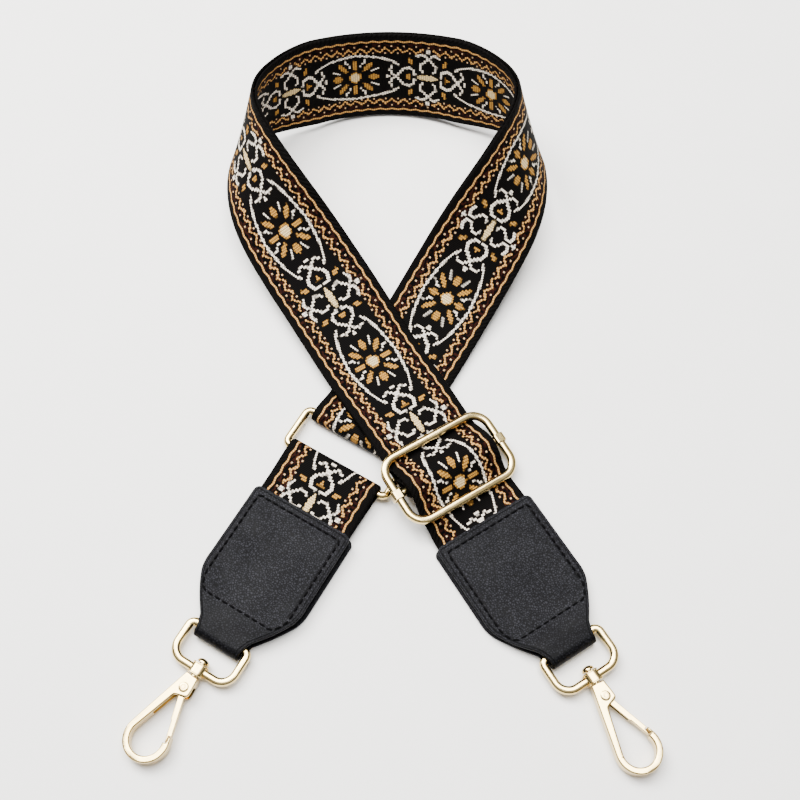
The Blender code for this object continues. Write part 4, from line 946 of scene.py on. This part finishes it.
def arc(centre, radius, start, end, steps):
    """Points on an arc, angles in degrees."""
    turns = [math.radians(start + (end - start) * i / steps) for i in range(steps + 1)]
    return [(centre[0] + radius * math.cos(t), centre[1] + radius * math.sin(t)) for t in turns]


def rounded_rectangle(half_x, low_y, high_y, low, high):
    """An outline whose lower corners have the radius low and whose upper ones have the radius high."""
    return [
        *arc((half_x - high, high_y - high), high, 0, 90, ARC_STEPS),
        *arc((high - half_x, high_y - high), high, 90, 180, ARC_STEPS),
        *arc((low - half_x, low_y + low), low, 180, 270, ARC_STEPS),
        *arc((half_x - low, low_y + low), low, 270, 360, ARC_STEPS),
    ]


def section(around, square=1.0, under=None):
    """Points of a section 2 across: a circle, and nearer a rounded square as square falls. under is the same
    for its lower half."""
    for k in range(around):
        c, s = math.cos(math.tau * k / around), math.sin(math.tau * k / around)
        power = under if under and s < 0 else square
        yield math.copysign(abs(c) ** power, c), math.copysign(abs(s) ** power, s)


def skin(work, rings, closed=True):
    """Faces from each ring of points to the next, and from the last to the first; a point can end them."""
    for first, second in zip(rings, rings[1:] + (rings[:1] if closed else [])):
        around = max(len(first), len(second))
        for k in range(around):
            n = (k + 1) % around
            spots = ((first, k), (first, n), (second, n), (second, k))
            corners = list(dict.fromkeys(ring[at % len(ring)] for ring, at in spots))
            if len(corners) > 2:
                work.faces.new(corners)
    return work


def wire_loop(outline, radius, square=1.0, around=20, under=None):
    """A closed wire along an outline."""
    work = bmesh.new()
    rings = []
    for before, spot, after in zip(outline[-1:] + outline[:-1], outline, outline[1:] + outline[:1]):
        travel = Vector((after[0] - before[0], after[1] - before[1], 0.0)).normalized()
        side, spot = Vector((travel.y, -travel.x, 0.0)), Vector((*spot, 0.0))
        rings.append([
            work.verts.new(spot + side * across * radius + Vector((0, 0, up * radius)))
            for across, up in section(around, square, under)
        ])
    return skin(work, rings)


def metal_mesh(name, work, matrix=None):
    """A closed mesh from a working one, with its doubles merged and its faces turned outwards."""
    if matrix is not None:
        bmesh.ops.transform(work, matrix=matrix, verts=work.verts)
    bmesh.ops.remove_doubles(work, verts=work.verts, dist=MM / 500)
    bmesh.ops.recalc_face_normals(work, faces=work.faces)
    mesh = bpy.data.meshes.new(name)
    work.to_mesh(mesh)
    work.free()
    return mesh


def polished(mesh, matrix, *tools):
    """The mesh with others joined to it or cut out of it, smooth but for its sharp edges, at its place."""
    holder = new_object("blank", mesh)
    helpers = [holder]
    for tool, operation in tools:
        helpers.append(new_object("tool", tool))
        step = holder.modifiers.new("tool", "BOOLEAN")
        step.operation, step.solver, step.object = operation, "EXACT", helpers[-1]
    shaped = as_mesh(holder)
    holder.modifiers.clear()
    shaped.name = mesh.name
    shaped.transform(matrix)
    shaped.polygons.foreach_set("use_smooth", [True] * len(shaped.polygons))
    shaped.set_sharp_from_angle(angle=SMOOTH_UNDER)
    holder.data = shaped
    holder.modifiers.new("flat faces stay flat", "WEIGHTED_NORMAL").keep_sharp = True
    final = as_mesh(holder)
    for helper in helpers:
        bpy.data.objects.remove(helper, do_unlink=True)
    return final


# How rough the plating is where nothing has worn it
GOLD_ROUGHNESS = 0.09


def gold_finish(name, wear):
    """Pale gold flash over bright nickel: a clear mirror, rippled by hand polishing and dulled by wear."""
    finish, tree = new_finish(name)
    place = put(tree, "ShaderNodeTexCoord").node.outputs["Object"]
    # Ripples about 4 mm wide, clouds of wear about 8 mm wide, and scuffs of 0.4 by 2 mm
    ripple = put(tree, "ShaderNodeTexNoise", {"Vector": place, "Scale": 240.0, "Detail": 1.0})
    cloud = put(tree, "ShaderNodeTexNoise", {"Vector": place, "Scale": 130.0, "Detail": 4.0})
    drawn = put(tree, VECTOR, place, (2600.0, 2600.0, 500.0), operation="MULTIPLY")
    scuffs = put(tree, "ShaderNodeTexNoise", {"Vector": drawn, "Scale": 1.0, "Detail": 2.0})
    rough = put(tree, "ShaderNodeMapRange", cloud, 0.35, 0.7, GOLD_ROUGHNESS, GOLD_ROUGHNESS + wear)
    rough = put(tree, MATH, scuffs, 0.05, rough, operation="MULTIPLY_ADD")
    tone = {0: cloud, 6: linear("#cdb06e"), 7: linear("#e0ca92")}
    colour = put(tree, MIX, tone, data_type="RGBA").node.outputs[2]
    normal = put(tree, "ShaderNodeBump", {"Strength": 0.1, "Distance": 0.0002, "Height": ripple})
    shader = put(tree, "ShaderNodeBsdfPrincipled", {
        "Base Color": colour, "Roughness": rough, "Normal": normal, "Metallic": 1.0})
    put(tree, "ShaderNodeOutputMaterial", {"Surface": shader})
    return finish


wire_gold = gold_finish("pale_gold_plated_steel_wire", 0.1)
cast_gold = gold_finish("pale_gold_plated_zinc_casting", 0.14)
half, low = RING_INNER_WIDTH / 2 + WIRE_RADIUS, -RING_INNER_HEIGHT - 2 * WIRE_RADIUS
outline = rounded_rectangle(half, low, 0.0, RING_CORNER, RING_CORNER)
ring_at = left_leg.matrix(RING_FROM_CROSSING, -SIDE_PLAY, WIRE_HEIGHT)
mesh = polished(metal_mesh("ring_wire", wire_loop(outline, WIRE_RADIUS)), ring_at)
add_piece("ring_wire", mesh, "ring", "gold_metal", (wire_gold,), "adjuster_ring")

# ---- Slide adjuster -----------------------------------------------------------------------------------
# The frame is a rounded rectangle of wire, squarish above and round below, with a weld seam in its upper
# bar. The middle bar ends in a square sleeve round each of the frame's short sides.

SLIDER_INNER_WIDTH, SLIDER_CORNER = WEB_WIDTH + 4.0 * MM, 6.4 * MM
SLIDER_WIRE, SLIDER_SQUARE = 1.57 * MM, 0.74
SLEEVE_OUT, SLEEVE_IN, SLEEVE_LENGTH, SLEEVE_ROUNDING = 2.2 * MM, 1.78 * MM, 3.6 * MM, 0.25 * MM
SLEEVE_CORNER = 0.7 * MM
SEAM_AT, SEAM_DEEP, SEAM_HALF = 1.5 * MM, 0.93, 0.12 * MM


def turned(profile, around=40, about="Y", square=1.0):
    """A profile of (radius, place along the axis) turned about an axis; radius 0 closes it with a point."""
    work = bmesh.new()
    rings = []
    for radius, place in profile:
        spots = [(radius * c, place, -radius * s) for c, s in section(around if radius > 0 else 1, square)]
        if about == "Z":
            spots = [(x, -z, y) for x, y, z in spots]
        rings.append([work.verts.new(spot) for spot in spots])
    return skin(work, rings, closed=profile[0][0] > 0 and profile[-1][0] > 0)


def peg(radius, low, high, about="Y"):
    """A plain turned pin, used as a shaft or as a drill."""
    return turned([(0.0, low), (radius, low), (radius, high), (0.0, high)], about=about)


def sleeve(place):
    """A short square tube round the frame's short side, open at both ends."""
    work = bmesh.new()
    reach = SLEEVE_LENGTH / 2
    profile = (
        (SLEEVE_IN, -reach), (SLEEVE_OUT - SLEEVE_ROUNDING, -reach), (SLEEVE_OUT, -reach + SLEEVE_ROUNDING),
        (SLEEVE_OUT, reach - SLEEVE_ROUNDING), (SLEEVE_OUT - SLEEVE_ROUNDING, reach), (SLEEVE_IN, reach),
    )
    rings = []
    for size, y in profile:
        corner = SLEEVE_CORNER + size - SLEEVE_IN
        outline = rounded_rectangle(size, -size, size, corner, corner)
        rings.append([work.verts.new((x, y, z)) for x, z in outline])
    return metal_mesh("sleeve", skin(work, rings), place)


along, side, out, middle = slider
slider_at = Matrix((-side, along, out)).transposed().to_4x4()
slider_at.translation = middle
half = SLIDER_INNER_WIDTH / 2 + WIRE_RADIUS
outline = rounded_rectangle(half, -SLIDER_REACH, SLIDER_REACH, SLIDER_CORNER, SLIDER_CORNER)
mesh = metal_mesh("slider_wire", wire_loop(outline, SLIDER_WIRE, SLIDER_SQUARE, around=28, under=1.0))
ring_cut = turned([
    (SLIDER_WIRE * 1.6, SEAM_AT - SEAM_HALF), (SLIDER_WIRE * 1.6, SEAM_AT + SEAM_HALF),
    (SLIDER_WIRE * SEAM_DEEP, SEAM_AT + SEAM_HALF / 3), (SLIDER_WIRE * SEAM_DEEP, SEAM_AT - SEAM_HALF / 3),
])
seam_turn = Matrix.Translation((0, SLIDER_REACH, 0)) @ Matrix.Rotation(math.pi / 2, 4, "Z")
mesh = polished(mesh, slider_at, (metal_mesh("seam", ring_cut, seam_turn), "DIFFERENCE"))
add_piece("slider_wire", mesh, "slider", "gold_metal", (wire_gold,), "slider_frame")

reach = half - (SLEEVE_IN + SLEEVE_OUT) / 2
shaft = metal_mesh("slider_bar_shaft", peg(WIRE_RADIUS, -reach, reach), Matrix.Rotation(math.pi / 2, 4, "Z"))
sleeves = [(sleeve(Matrix.Translation((sign * half, 0.0, 0.0))), "UNION") for sign in (-1, 1)]
mesh = polished(shaft, slider_at, *sleeves)
add_piece("slider_middle_bar", mesh, "strap", "gold_metal", (wire_gold,), "slider_bar")

# ---- D-rings and swivels ------------------------------------------------------------------------------
# A D-shaped zinc casting hangs in each leather end. Its barrel, with a rim at either end, holds the hook's
# swivel rivet, whose dome shows inside the D.

D_HALF_WIDTH, D_LENGTH, D_TOP_CORNER, D_BOTTOM_CORNER = 11.8 * MM, 13.5 * MM, 2.2 * MM, 5.2 * MM
D_SIDE_PLAY, BAR_PLAY, HOOK_TURN = 0.5 * MM, 1.1 * MM, -3.0
COLLAR_RADIUS, COLLAR_WAIST, COLLAR_HALF, COLLAR_RIM = 3.0 * MM, 2.72 * MM, 2.1 * MM, 0.5 * MM
D_SQUARE, COLLAR_SQUARE = 0.82, 0.66
POST_RADIUS, POST_SEAT, SWIVEL_GAP = 1.15 * MM, 2.2 * MM, 0.45 * MM
DOME_RADIUS, DOME_HEIGHT, DOME_RIM, DOME_EDGE = 2.3 * MM, 1.8 * MM, 0.3 * MM, 0.1 * MM
ROUNDING = 0.18 * MM


def hook_places(tab_at, shift):
    """Where a D-ring's bar lies in its leather fold, and where its hook hangs from it."""
    bar = tab_at @ Matrix.Translation((shift, -(TAB_FOLD_AT - BAR_PLAY), TAB_BAR_HEIGHT))
    hang = Matrix.Translation((0, -D_LENGTH, 0)) @ Matrix.Rotation(math.radians(HOOK_TURN), 4, "Z")
    return bar, bar @ hang


ends = {"right": hook_places(right_tab_at, D_SIDE_PLAY), "left": hook_places(left_tab_at, -D_SIDE_PLAY)}
rim_in = COLLAR_HALF - COLLAR_RIM
barrel = [
    (0.0, -COLLAR_HALF), (COLLAR_RADIUS - ROUNDING, -COLLAR_HALF), (COLLAR_RADIUS, -COLLAR_HALF + ROUNDING),
    (COLLAR_RADIUS, -rim_in - ROUNDING), (COLLAR_RADIUS - ROUNDING, -rim_in),
    (COLLAR_WAIST, -rim_in + ROUNDING / 2),
]
barrel += [(radius, -place) for radius, place in reversed(barrel)]
shoulder = COLLAR_HALF + SWIVEL_GAP
rivet_profile = [(0.0, shoulder + DOME_HEIGHT)]
for turn in [math.radians(angle) for angle in range(9, 91, 9)]:
    rise = DOME_RIM + (DOME_HEIGHT - DOME_RIM) * math.cos(turn)
    rivet_profile.append((DOME_RADIUS * math.sin(turn), shoulder + rise))
rivet_profile += [
    (DOME_RADIUS, shoulder + DOME_EDGE), (DOME_RADIUS - DOME_EDGE, shoulder), (POST_RADIUS, shoulder),
    (POST_RADIUS, -shoulder - POST_SEAT), (0.0, -shoulder - POST_SEAT),
]
outline = rounded_rectangle(D_HALF_WIDTH, -D_LENGTH, 0.0, D_BOTTOM_CORNER, D_TOP_CORNER)
to_barrel = Matrix.Translation((0, -D_LENGTH, 0))
drill = peg(POST_RADIUS + FIT_GAP, -2 * COLLAR_HALF, 2 * COLLAR_HALF)
barrel_steps = (
    (metal_mesh("barrel", turned(barrel, around=48, square=COLLAR_SQUARE), to_barrel), "UNION"),
    (metal_mesh("drill", drill, to_barrel), "DIFFERENCE"),
)
for end, (bar_at, hook_at) in ends.items():
    loop = metal_mesh("d_ring_wire_" + end, wire_loop(outline, WIRE_RADIUS, D_SQUARE, around=24))
    mesh = polished(loop, bar_at, *barrel_steps)
    add_piece("d_ring_casting_" + end, mesh, end + "_d_ring", "gold_metal", (cast_gold,), "d_ring_" + end)
    mesh = polished(metal_mesh("swivel_rivet_" + end, turned(rivet_profile)), hook_at)
    add_piece("swivel_rivet_" + end, mesh, end + "_hook", "gold_metal", (cast_gold,), "swivel_post_" + end)

# ---- Snap hooks ---------------------------------------------------------------------------------------
# Each is a flat-faced zinc casting 4.7 mm thick: a forked head, a spine that runs straight into the bow,
# and a nose with a lip that stops the gate. The gate is folded from sheet and turns on a riveted pin.

BOW_RADIUS, BOW_WIDTH, BOW_AT = 8.0 * MM, 2.4 * MM, -27.5 * MM
HOOK_THICKNESS, HOOK_EDGE, GATE_EDGE = 4.7 * MM, 0.58 * MM, 0.2 * MM
HEAD_TOP, PIN_AT, PIN_RADIUS = -(COLLAR_HALF + SWIVEL_GAP), -7.4 * MM, 0.8 * MM
SPINE_IN_TOP = (-1.5 * MM, -11.6 * MM)
CHEEK = (
    (-1.25, -11.05), (-0.6, -10.75), (0.4, -10.45), (1.4, -10.2), (2.2, -9.95), (2.75, -9.55), (3.05, -9.0),
    (3.1, -8.4), (3.0, -7.0), (2.7, -4.6), (2.45, -2.85), (2.2, -2.55),
)
GATE_HALF, GATE_THICKNESS, GATE_ROOT = 1.0 * MM, 2.8 * MM, 1.5 * MM
GATE_TIP, NOTCH, JOINT_GAP = 18.5 * MM, 2.1 * MM, 0.28 * MM
CHANNEL_START, CHANNEL_END, CHANNEL_HALF, GATE_WALL = 2.3 * MM, 10.6 * MM, 0.85 * MM, 0.75 * MM
# Beyond its channel the gate is solid, and its inner side steps back between these two places.
SHANK_START, SHANK_FULL, SHANK_STEP = CHANNEL_END + 0.2 * MM, CHANNEL_END + 0.7 * MM, 0.35 * MM
SLOT_HALF, SLOT_LEFT, SLOT_RIGHT, SLOT_FLOOR = 1.6 * MM, -2.1 * MM, 8.0 * MM, -13.0 * MM
GROOVE_END, GROOVE_DEEP, GROOVE_PAST = -19.6 * MM, 0.75 * MM, 1.5 * MM
SPRING_FLOOR, JOINT_STEP = -0.4 * MM, 0.15 * MM


def plate(name, points, thickness, edge):
    """A flat outline given thickness, with its edges rounded over."""
    holder = closed_line(name, [(*point, 0.0) for point in points], "2D")
    curve = holder.data
    curve.fill_mode = "BOTH"
    curve.bevel_depth, curve.bevel_resolution = edge, 3
    curve.offset, curve.extrude = -edge, thickness / 2 - edge
    work = bmesh.new()
    work.from_mesh(as_mesh(holder))
    bpy.data.objects.remove(holder, do_unlink=True)
    bmesh.ops.remove_doubles(work, verts=work.verts, dist=MM / 100)
    return metal_mesh(name, work)


def prism(points, low, high):
    """A straight-sided cutter over an outline."""
    work = bmesh.new()
    faces = [[work.verts.new((*point, height)) for point in points] for height in (low, high)]
    for face in faces:
        work.faces.new(face)
    return metal_mesh("cutter", skin(work, faces, closed=False))


def touching_angle(point, radius, turn):
    """Angle at which a line from the point touches a circle round the bow's centre."""
    dx, dy = point[0], point[1] - BOW_AT
    return math.degrees(math.atan2(dy, dx) + turn * math.acos(radius / math.hypot(dx, dy)))


slant = math.asin((BOW_RADIUS - BOW_WIDTH / 2) / (PIN_AT - BOW_AT))
gate_along, gate_out = Vector((math.sin(slant), -math.cos(slant))), Vector((math.cos(slant), math.sin(slant)))
slant = math.degrees(slant)


def by_gate(place, outwards):
    """A spot beside the closed gate: distance from the pin along it, and out from the hook's opening."""
    return tuple(Vector((0.0, PIN_AT)) + gate_along * place + gate_out * outwards)


bow_in = BOW_RADIUS - BOW_WIDTH
spine_top = (-2.45 * MM, HEAD_TOP)
lip, heel, wide = GATE_TIP - NOTCH + JOINT_GAP, GATE_TIP + JOINT_GAP, BOW_WIDTH / 2
body_points = [
    spine_top, *arc((0.0, BOW_AT), BOW_RADIUS, touching_angle(spine_top, BOW_RADIUS, 1), 360 + slant, 56),
    by_gate(lip, wide), by_gate(lip, JOINT_STEP + JOINT_GAP / 2),
    by_gate(heel, -JOINT_STEP + JOINT_GAP / 2), by_gate(heel, -wide),
    *arc((0.0, BOW_AT), bow_in, 360 + slant, touching_angle(SPINE_IN_TOP, bow_in, 1), 50),
    SPINE_IN_TOP, *[(x * MM, y * MM) for x, y in CHEEK],
]
root_turn = math.degrees(math.asin(GATE_HALF / GATE_ROOT))
heading = math.degrees(math.atan2(gate_along[1], gate_along[0]))
gate_points = [
    *arc((0.0, PIN_AT), GATE_ROOT, heading + root_turn, heading + 360 - root_turn, 30),
    by_gate(SHANK_START, -GATE_HALF), by_gate(SHANK_FULL, -GATE_HALF + SHANK_STEP),
    by_gate(GATE_TIP, -GATE_HALF + SHANK_STEP), by_gate(GATE_TIP, -JOINT_STEP - JOINT_GAP / 2),
    by_gate(GATE_TIP - NOTCH, JOINT_STEP - JOINT_GAP / 2), by_gate(GATE_TIP - NOTCH, GATE_HALF),
]
inner_end = arc((0.0, BOW_AT), bow_in, touching_angle(SPINE_IN_TOP, bow_in, 1), 180, 1)[0]
slope = (inner_end[0] - SPINE_IN_TOP[0]) / (inner_end[1] - SPINE_IN_TOP[1])
groove_x = SPINE_IN_TOP[0] + slope * (GROOVE_END - SPINE_IN_TOP[1])
slot_top = PIN_AT + GATE_ROOT + FIT_GAP
slot_points = [
    (SLOT_LEFT, slot_top), (SPINE_IN_TOP[0] - GROOVE_DEEP, SPINE_IN_TOP[1]),
    (groove_x - GROOVE_DEEP, GROOVE_END), (groove_x + GROOVE_PAST, GROOVE_END),
    (SLOT_RIGHT, SLOT_FLOOR), (SLOT_RIGHT, slot_top),
]
channel_points = [
    by_gate(CHANNEL_START, -3 * GATE_HALF), by_gate(CHANNEL_END, -3 * GATE_HALF),
    by_gate(CHANNEL_END, GATE_HALF - GATE_WALL), by_gate(CHANNEL_START, GATE_HALF - GATE_WALL),
]
# The pin's round head and its pressed ring, in mm: distance from its middle, and height
PIN_HEAD = (
    (0.0, -0.02), (0.55, 0.0), (0.66, -0.3), (0.84, -0.3), (0.95, 0.0), (1.4, 0.0), (1.62, -0.12),
    (1.75, -0.4),
)
PIN_HEAD_HEIGHT, CHEEK_GAP = 0.5 * MM, 0.05 * MM
cheek_height = HOOK_THICKNESS / 2 + CHEEK_GAP
pin_profile = [(r * MM, cheek_height + PIN_HEAD_HEIGHT + h * MM) for r, h in PIN_HEAD]
pin_profile += [(pin_profile[-1][0], cheek_height), (PIN_RADIUS, cheek_height)]
pin_profile += [(r, -h) for r, h in reversed(pin_profile)]
to_pin = Matrix.Translation((0.0, PIN_AT, 0.0))
seat = peg(POST_RADIUS + SMALL_GAP, HEAD_TOP - POST_SEAT - FIT_GAP, HEAD_TOP + BOW_WIDTH)
hole = metal_mesh("hole", peg(PIN_RADIUS + SMALL_GAP, -HOOK_THICKNESS, HOOK_THICKNESS, "Z"), to_pin)
pocket = metal_mesh("pocket", peg(GATE_ROOT + FIT_GAP, SPRING_FLOOR, HOOK_THICKNESS, "Z"), to_pin)
hook_cuts = (prism(slot_points, -SLOT_HALF, SLOT_HALF), hole, metal_mesh("seat", seat))
gate_cuts = (hole, pocket, prism(channel_points, -CHANNEL_HALF, CHANNEL_HALF))
for end, (bar_at, hook_at) in ends.items():
    for name, points, thickness, edge, cuts, body, replaced in (
        ("snap_hook_", body_points, HOOK_THICKNESS, HOOK_EDGE, hook_cuts, "_hook", "hook_body_"),
        ("gate_lever_", gate_points, GATE_THICKNESS, GATE_EDGE, gate_cuts, "_gate", "gate_"),
    ):
        blank = plate(name + end, points, thickness, edge)
        mesh = polished(blank, hook_at, *[(cut, "DIFFERENCE") for cut in cuts])
        add_piece(name + end, mesh, end + body, "gold_metal", (cast_gold,), replaced + end)
    mesh = polished(metal_mesh("gate_rivet_" + end, turned(pin_profile, about="Z"), to_pin), hook_at)
    add_piece("gate_rivet_" + end, mesh, end + "_hook", "gold_metal", (cast_gold,), "gate_pin_" + end)

# ---- Gate springs -------------------------------------------------------------------------------------
# A torsion spring of 0.3 mm steel wire lies round each pin, in the step of the gate's root. Its shape is
# the CAD's own, and it gets drawn steel's grey with a faint straw tint.


def spring_finish(name):
    """Bright-drawn spring steel: cool grey, half polished, with a little straw tint from tempering."""
    finish, tree = new_finish(name)
    place = put(tree, "ShaderNodeTexCoord").node.outputs["Object"]
    tint = put(tree, "ShaderNodeTexNoise", {"Vector": place, "Scale": 700.0, "Detail": 2.0})
    steel = {0: tint, 6: linear("#8f8f92"), 7: linear("#b3ab98")}
    colour = put(tree, MIX, steel, data_type="RGBA").node.outputs[2]
    rough = put(tree, "ShaderNodeMapRange", tint, 0.3, 0.7, 0.22, 0.36)
    shader = put(tree, "ShaderNodeBsdfPrincipled", {
        "Base Color": colour, "Roughness": rough, "Metallic": 1.0})
    put(tree, "ShaderNodeOutputMaterial", {"Surface": shader})
    return finish


spring_steel = spring_finish("drawn_spring_steel")
for end in ends:
    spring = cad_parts["gate_spring_" + end]
    spring.data.materials.clear()
    spring.data.materials.append(spring_steel)

# ---- The photograph's view ----------------------------------------------------------------------------
# A pale table in soft daylight, looked down on at 65 degrees.

CAMERA_AT = (1.43 * MM, -190.463 * MM, 397.364 * MM)
CAMERA_TURN, CAMERA_LENS, TABLE_DROP = (25.222, 0.0, -0.767), 51.75, 0.2 * MM
floor = bpy.data.meshes.new("table")
work = bmesh.new()
bmesh.ops.create_grid(work, x_segments=2, y_segments=2, size=4.0)
work.to_mesh(floor)
work.free()
table = new_object("table", floor)
table.location.z = -TABLE_DROP
paper, tree = new_finish("matt_white_paper")
place = put(tree, "ShaderNodeTexCoord").node.outputs["Object"]
grain = put(tree, "ShaderNodeTexNoise", {"Vector": place, "Scale": 30.0, "Detail": 2.0})
tones = {0: grain, 6: linear("#edebe7"), 7: linear("#f2f0ec")}
tint = put(tree, MIX, tones, data_type="RGBA").node.outputs[2]
shader = put(tree, "ShaderNodeBsdfPrincipled", {"Base Color": tint, "Roughness": 0.7})
put(tree, "ShaderNodeOutputMaterial", {"Surface": shader})
floor.materials.append(paper)

camera = new_object("camera", bpy.data.cameras.new("camera"))
camera.data.sensor_width, camera.data.lens = 36.0, CAMERA_LENS
camera.location = CAMERA_AT
camera.rotation_euler = [math.radians(angle) for angle in CAMERA_TURN]
bpy.context.scene.camera = camera

# A dark room with a bright ceiling: the metal's sides mirror the dark, its tops the light.
world = bpy.data.worlds.new("room")
world.use_nodes = True
tree = world.node_tree
height = put(tree, "ShaderNodeSeparateXYZ", put(tree, "ShaderNodeNewGeometry")).node.outputs[2]
room = put(tree, "ShaderNodeMapRange", put(tree, MATH, height, operation="ABSOLUTE"), 0.4, 0.9, 0.05, 0.9)
tree.nodes["Background"].inputs["Color"].default_value = linear("#f2f2f4")
tree.links.new(room, tree.nodes["Background"].inputs["Strength"])
bpy.context.scene.world = world
# Two square lights, their places and sizes in metres and their power in watts
for name, place, size, power in (
    ("window", (-0.55, 0.5, 1.0), 0.6, 34.0), ("ceiling", (0.0, 0.3, 1.25), 0.85, 46.0),
):
    light = bpy.data.lights.new(name, "AREA")
    light.shape, light.size, light.energy = "SQUARE", size, power
    lamp = new_object(name, light)
    lamp.location = place
    lamp.rotation_euler = (-Vector(place)).to_track_quat("-Z", "Y").to_euler()
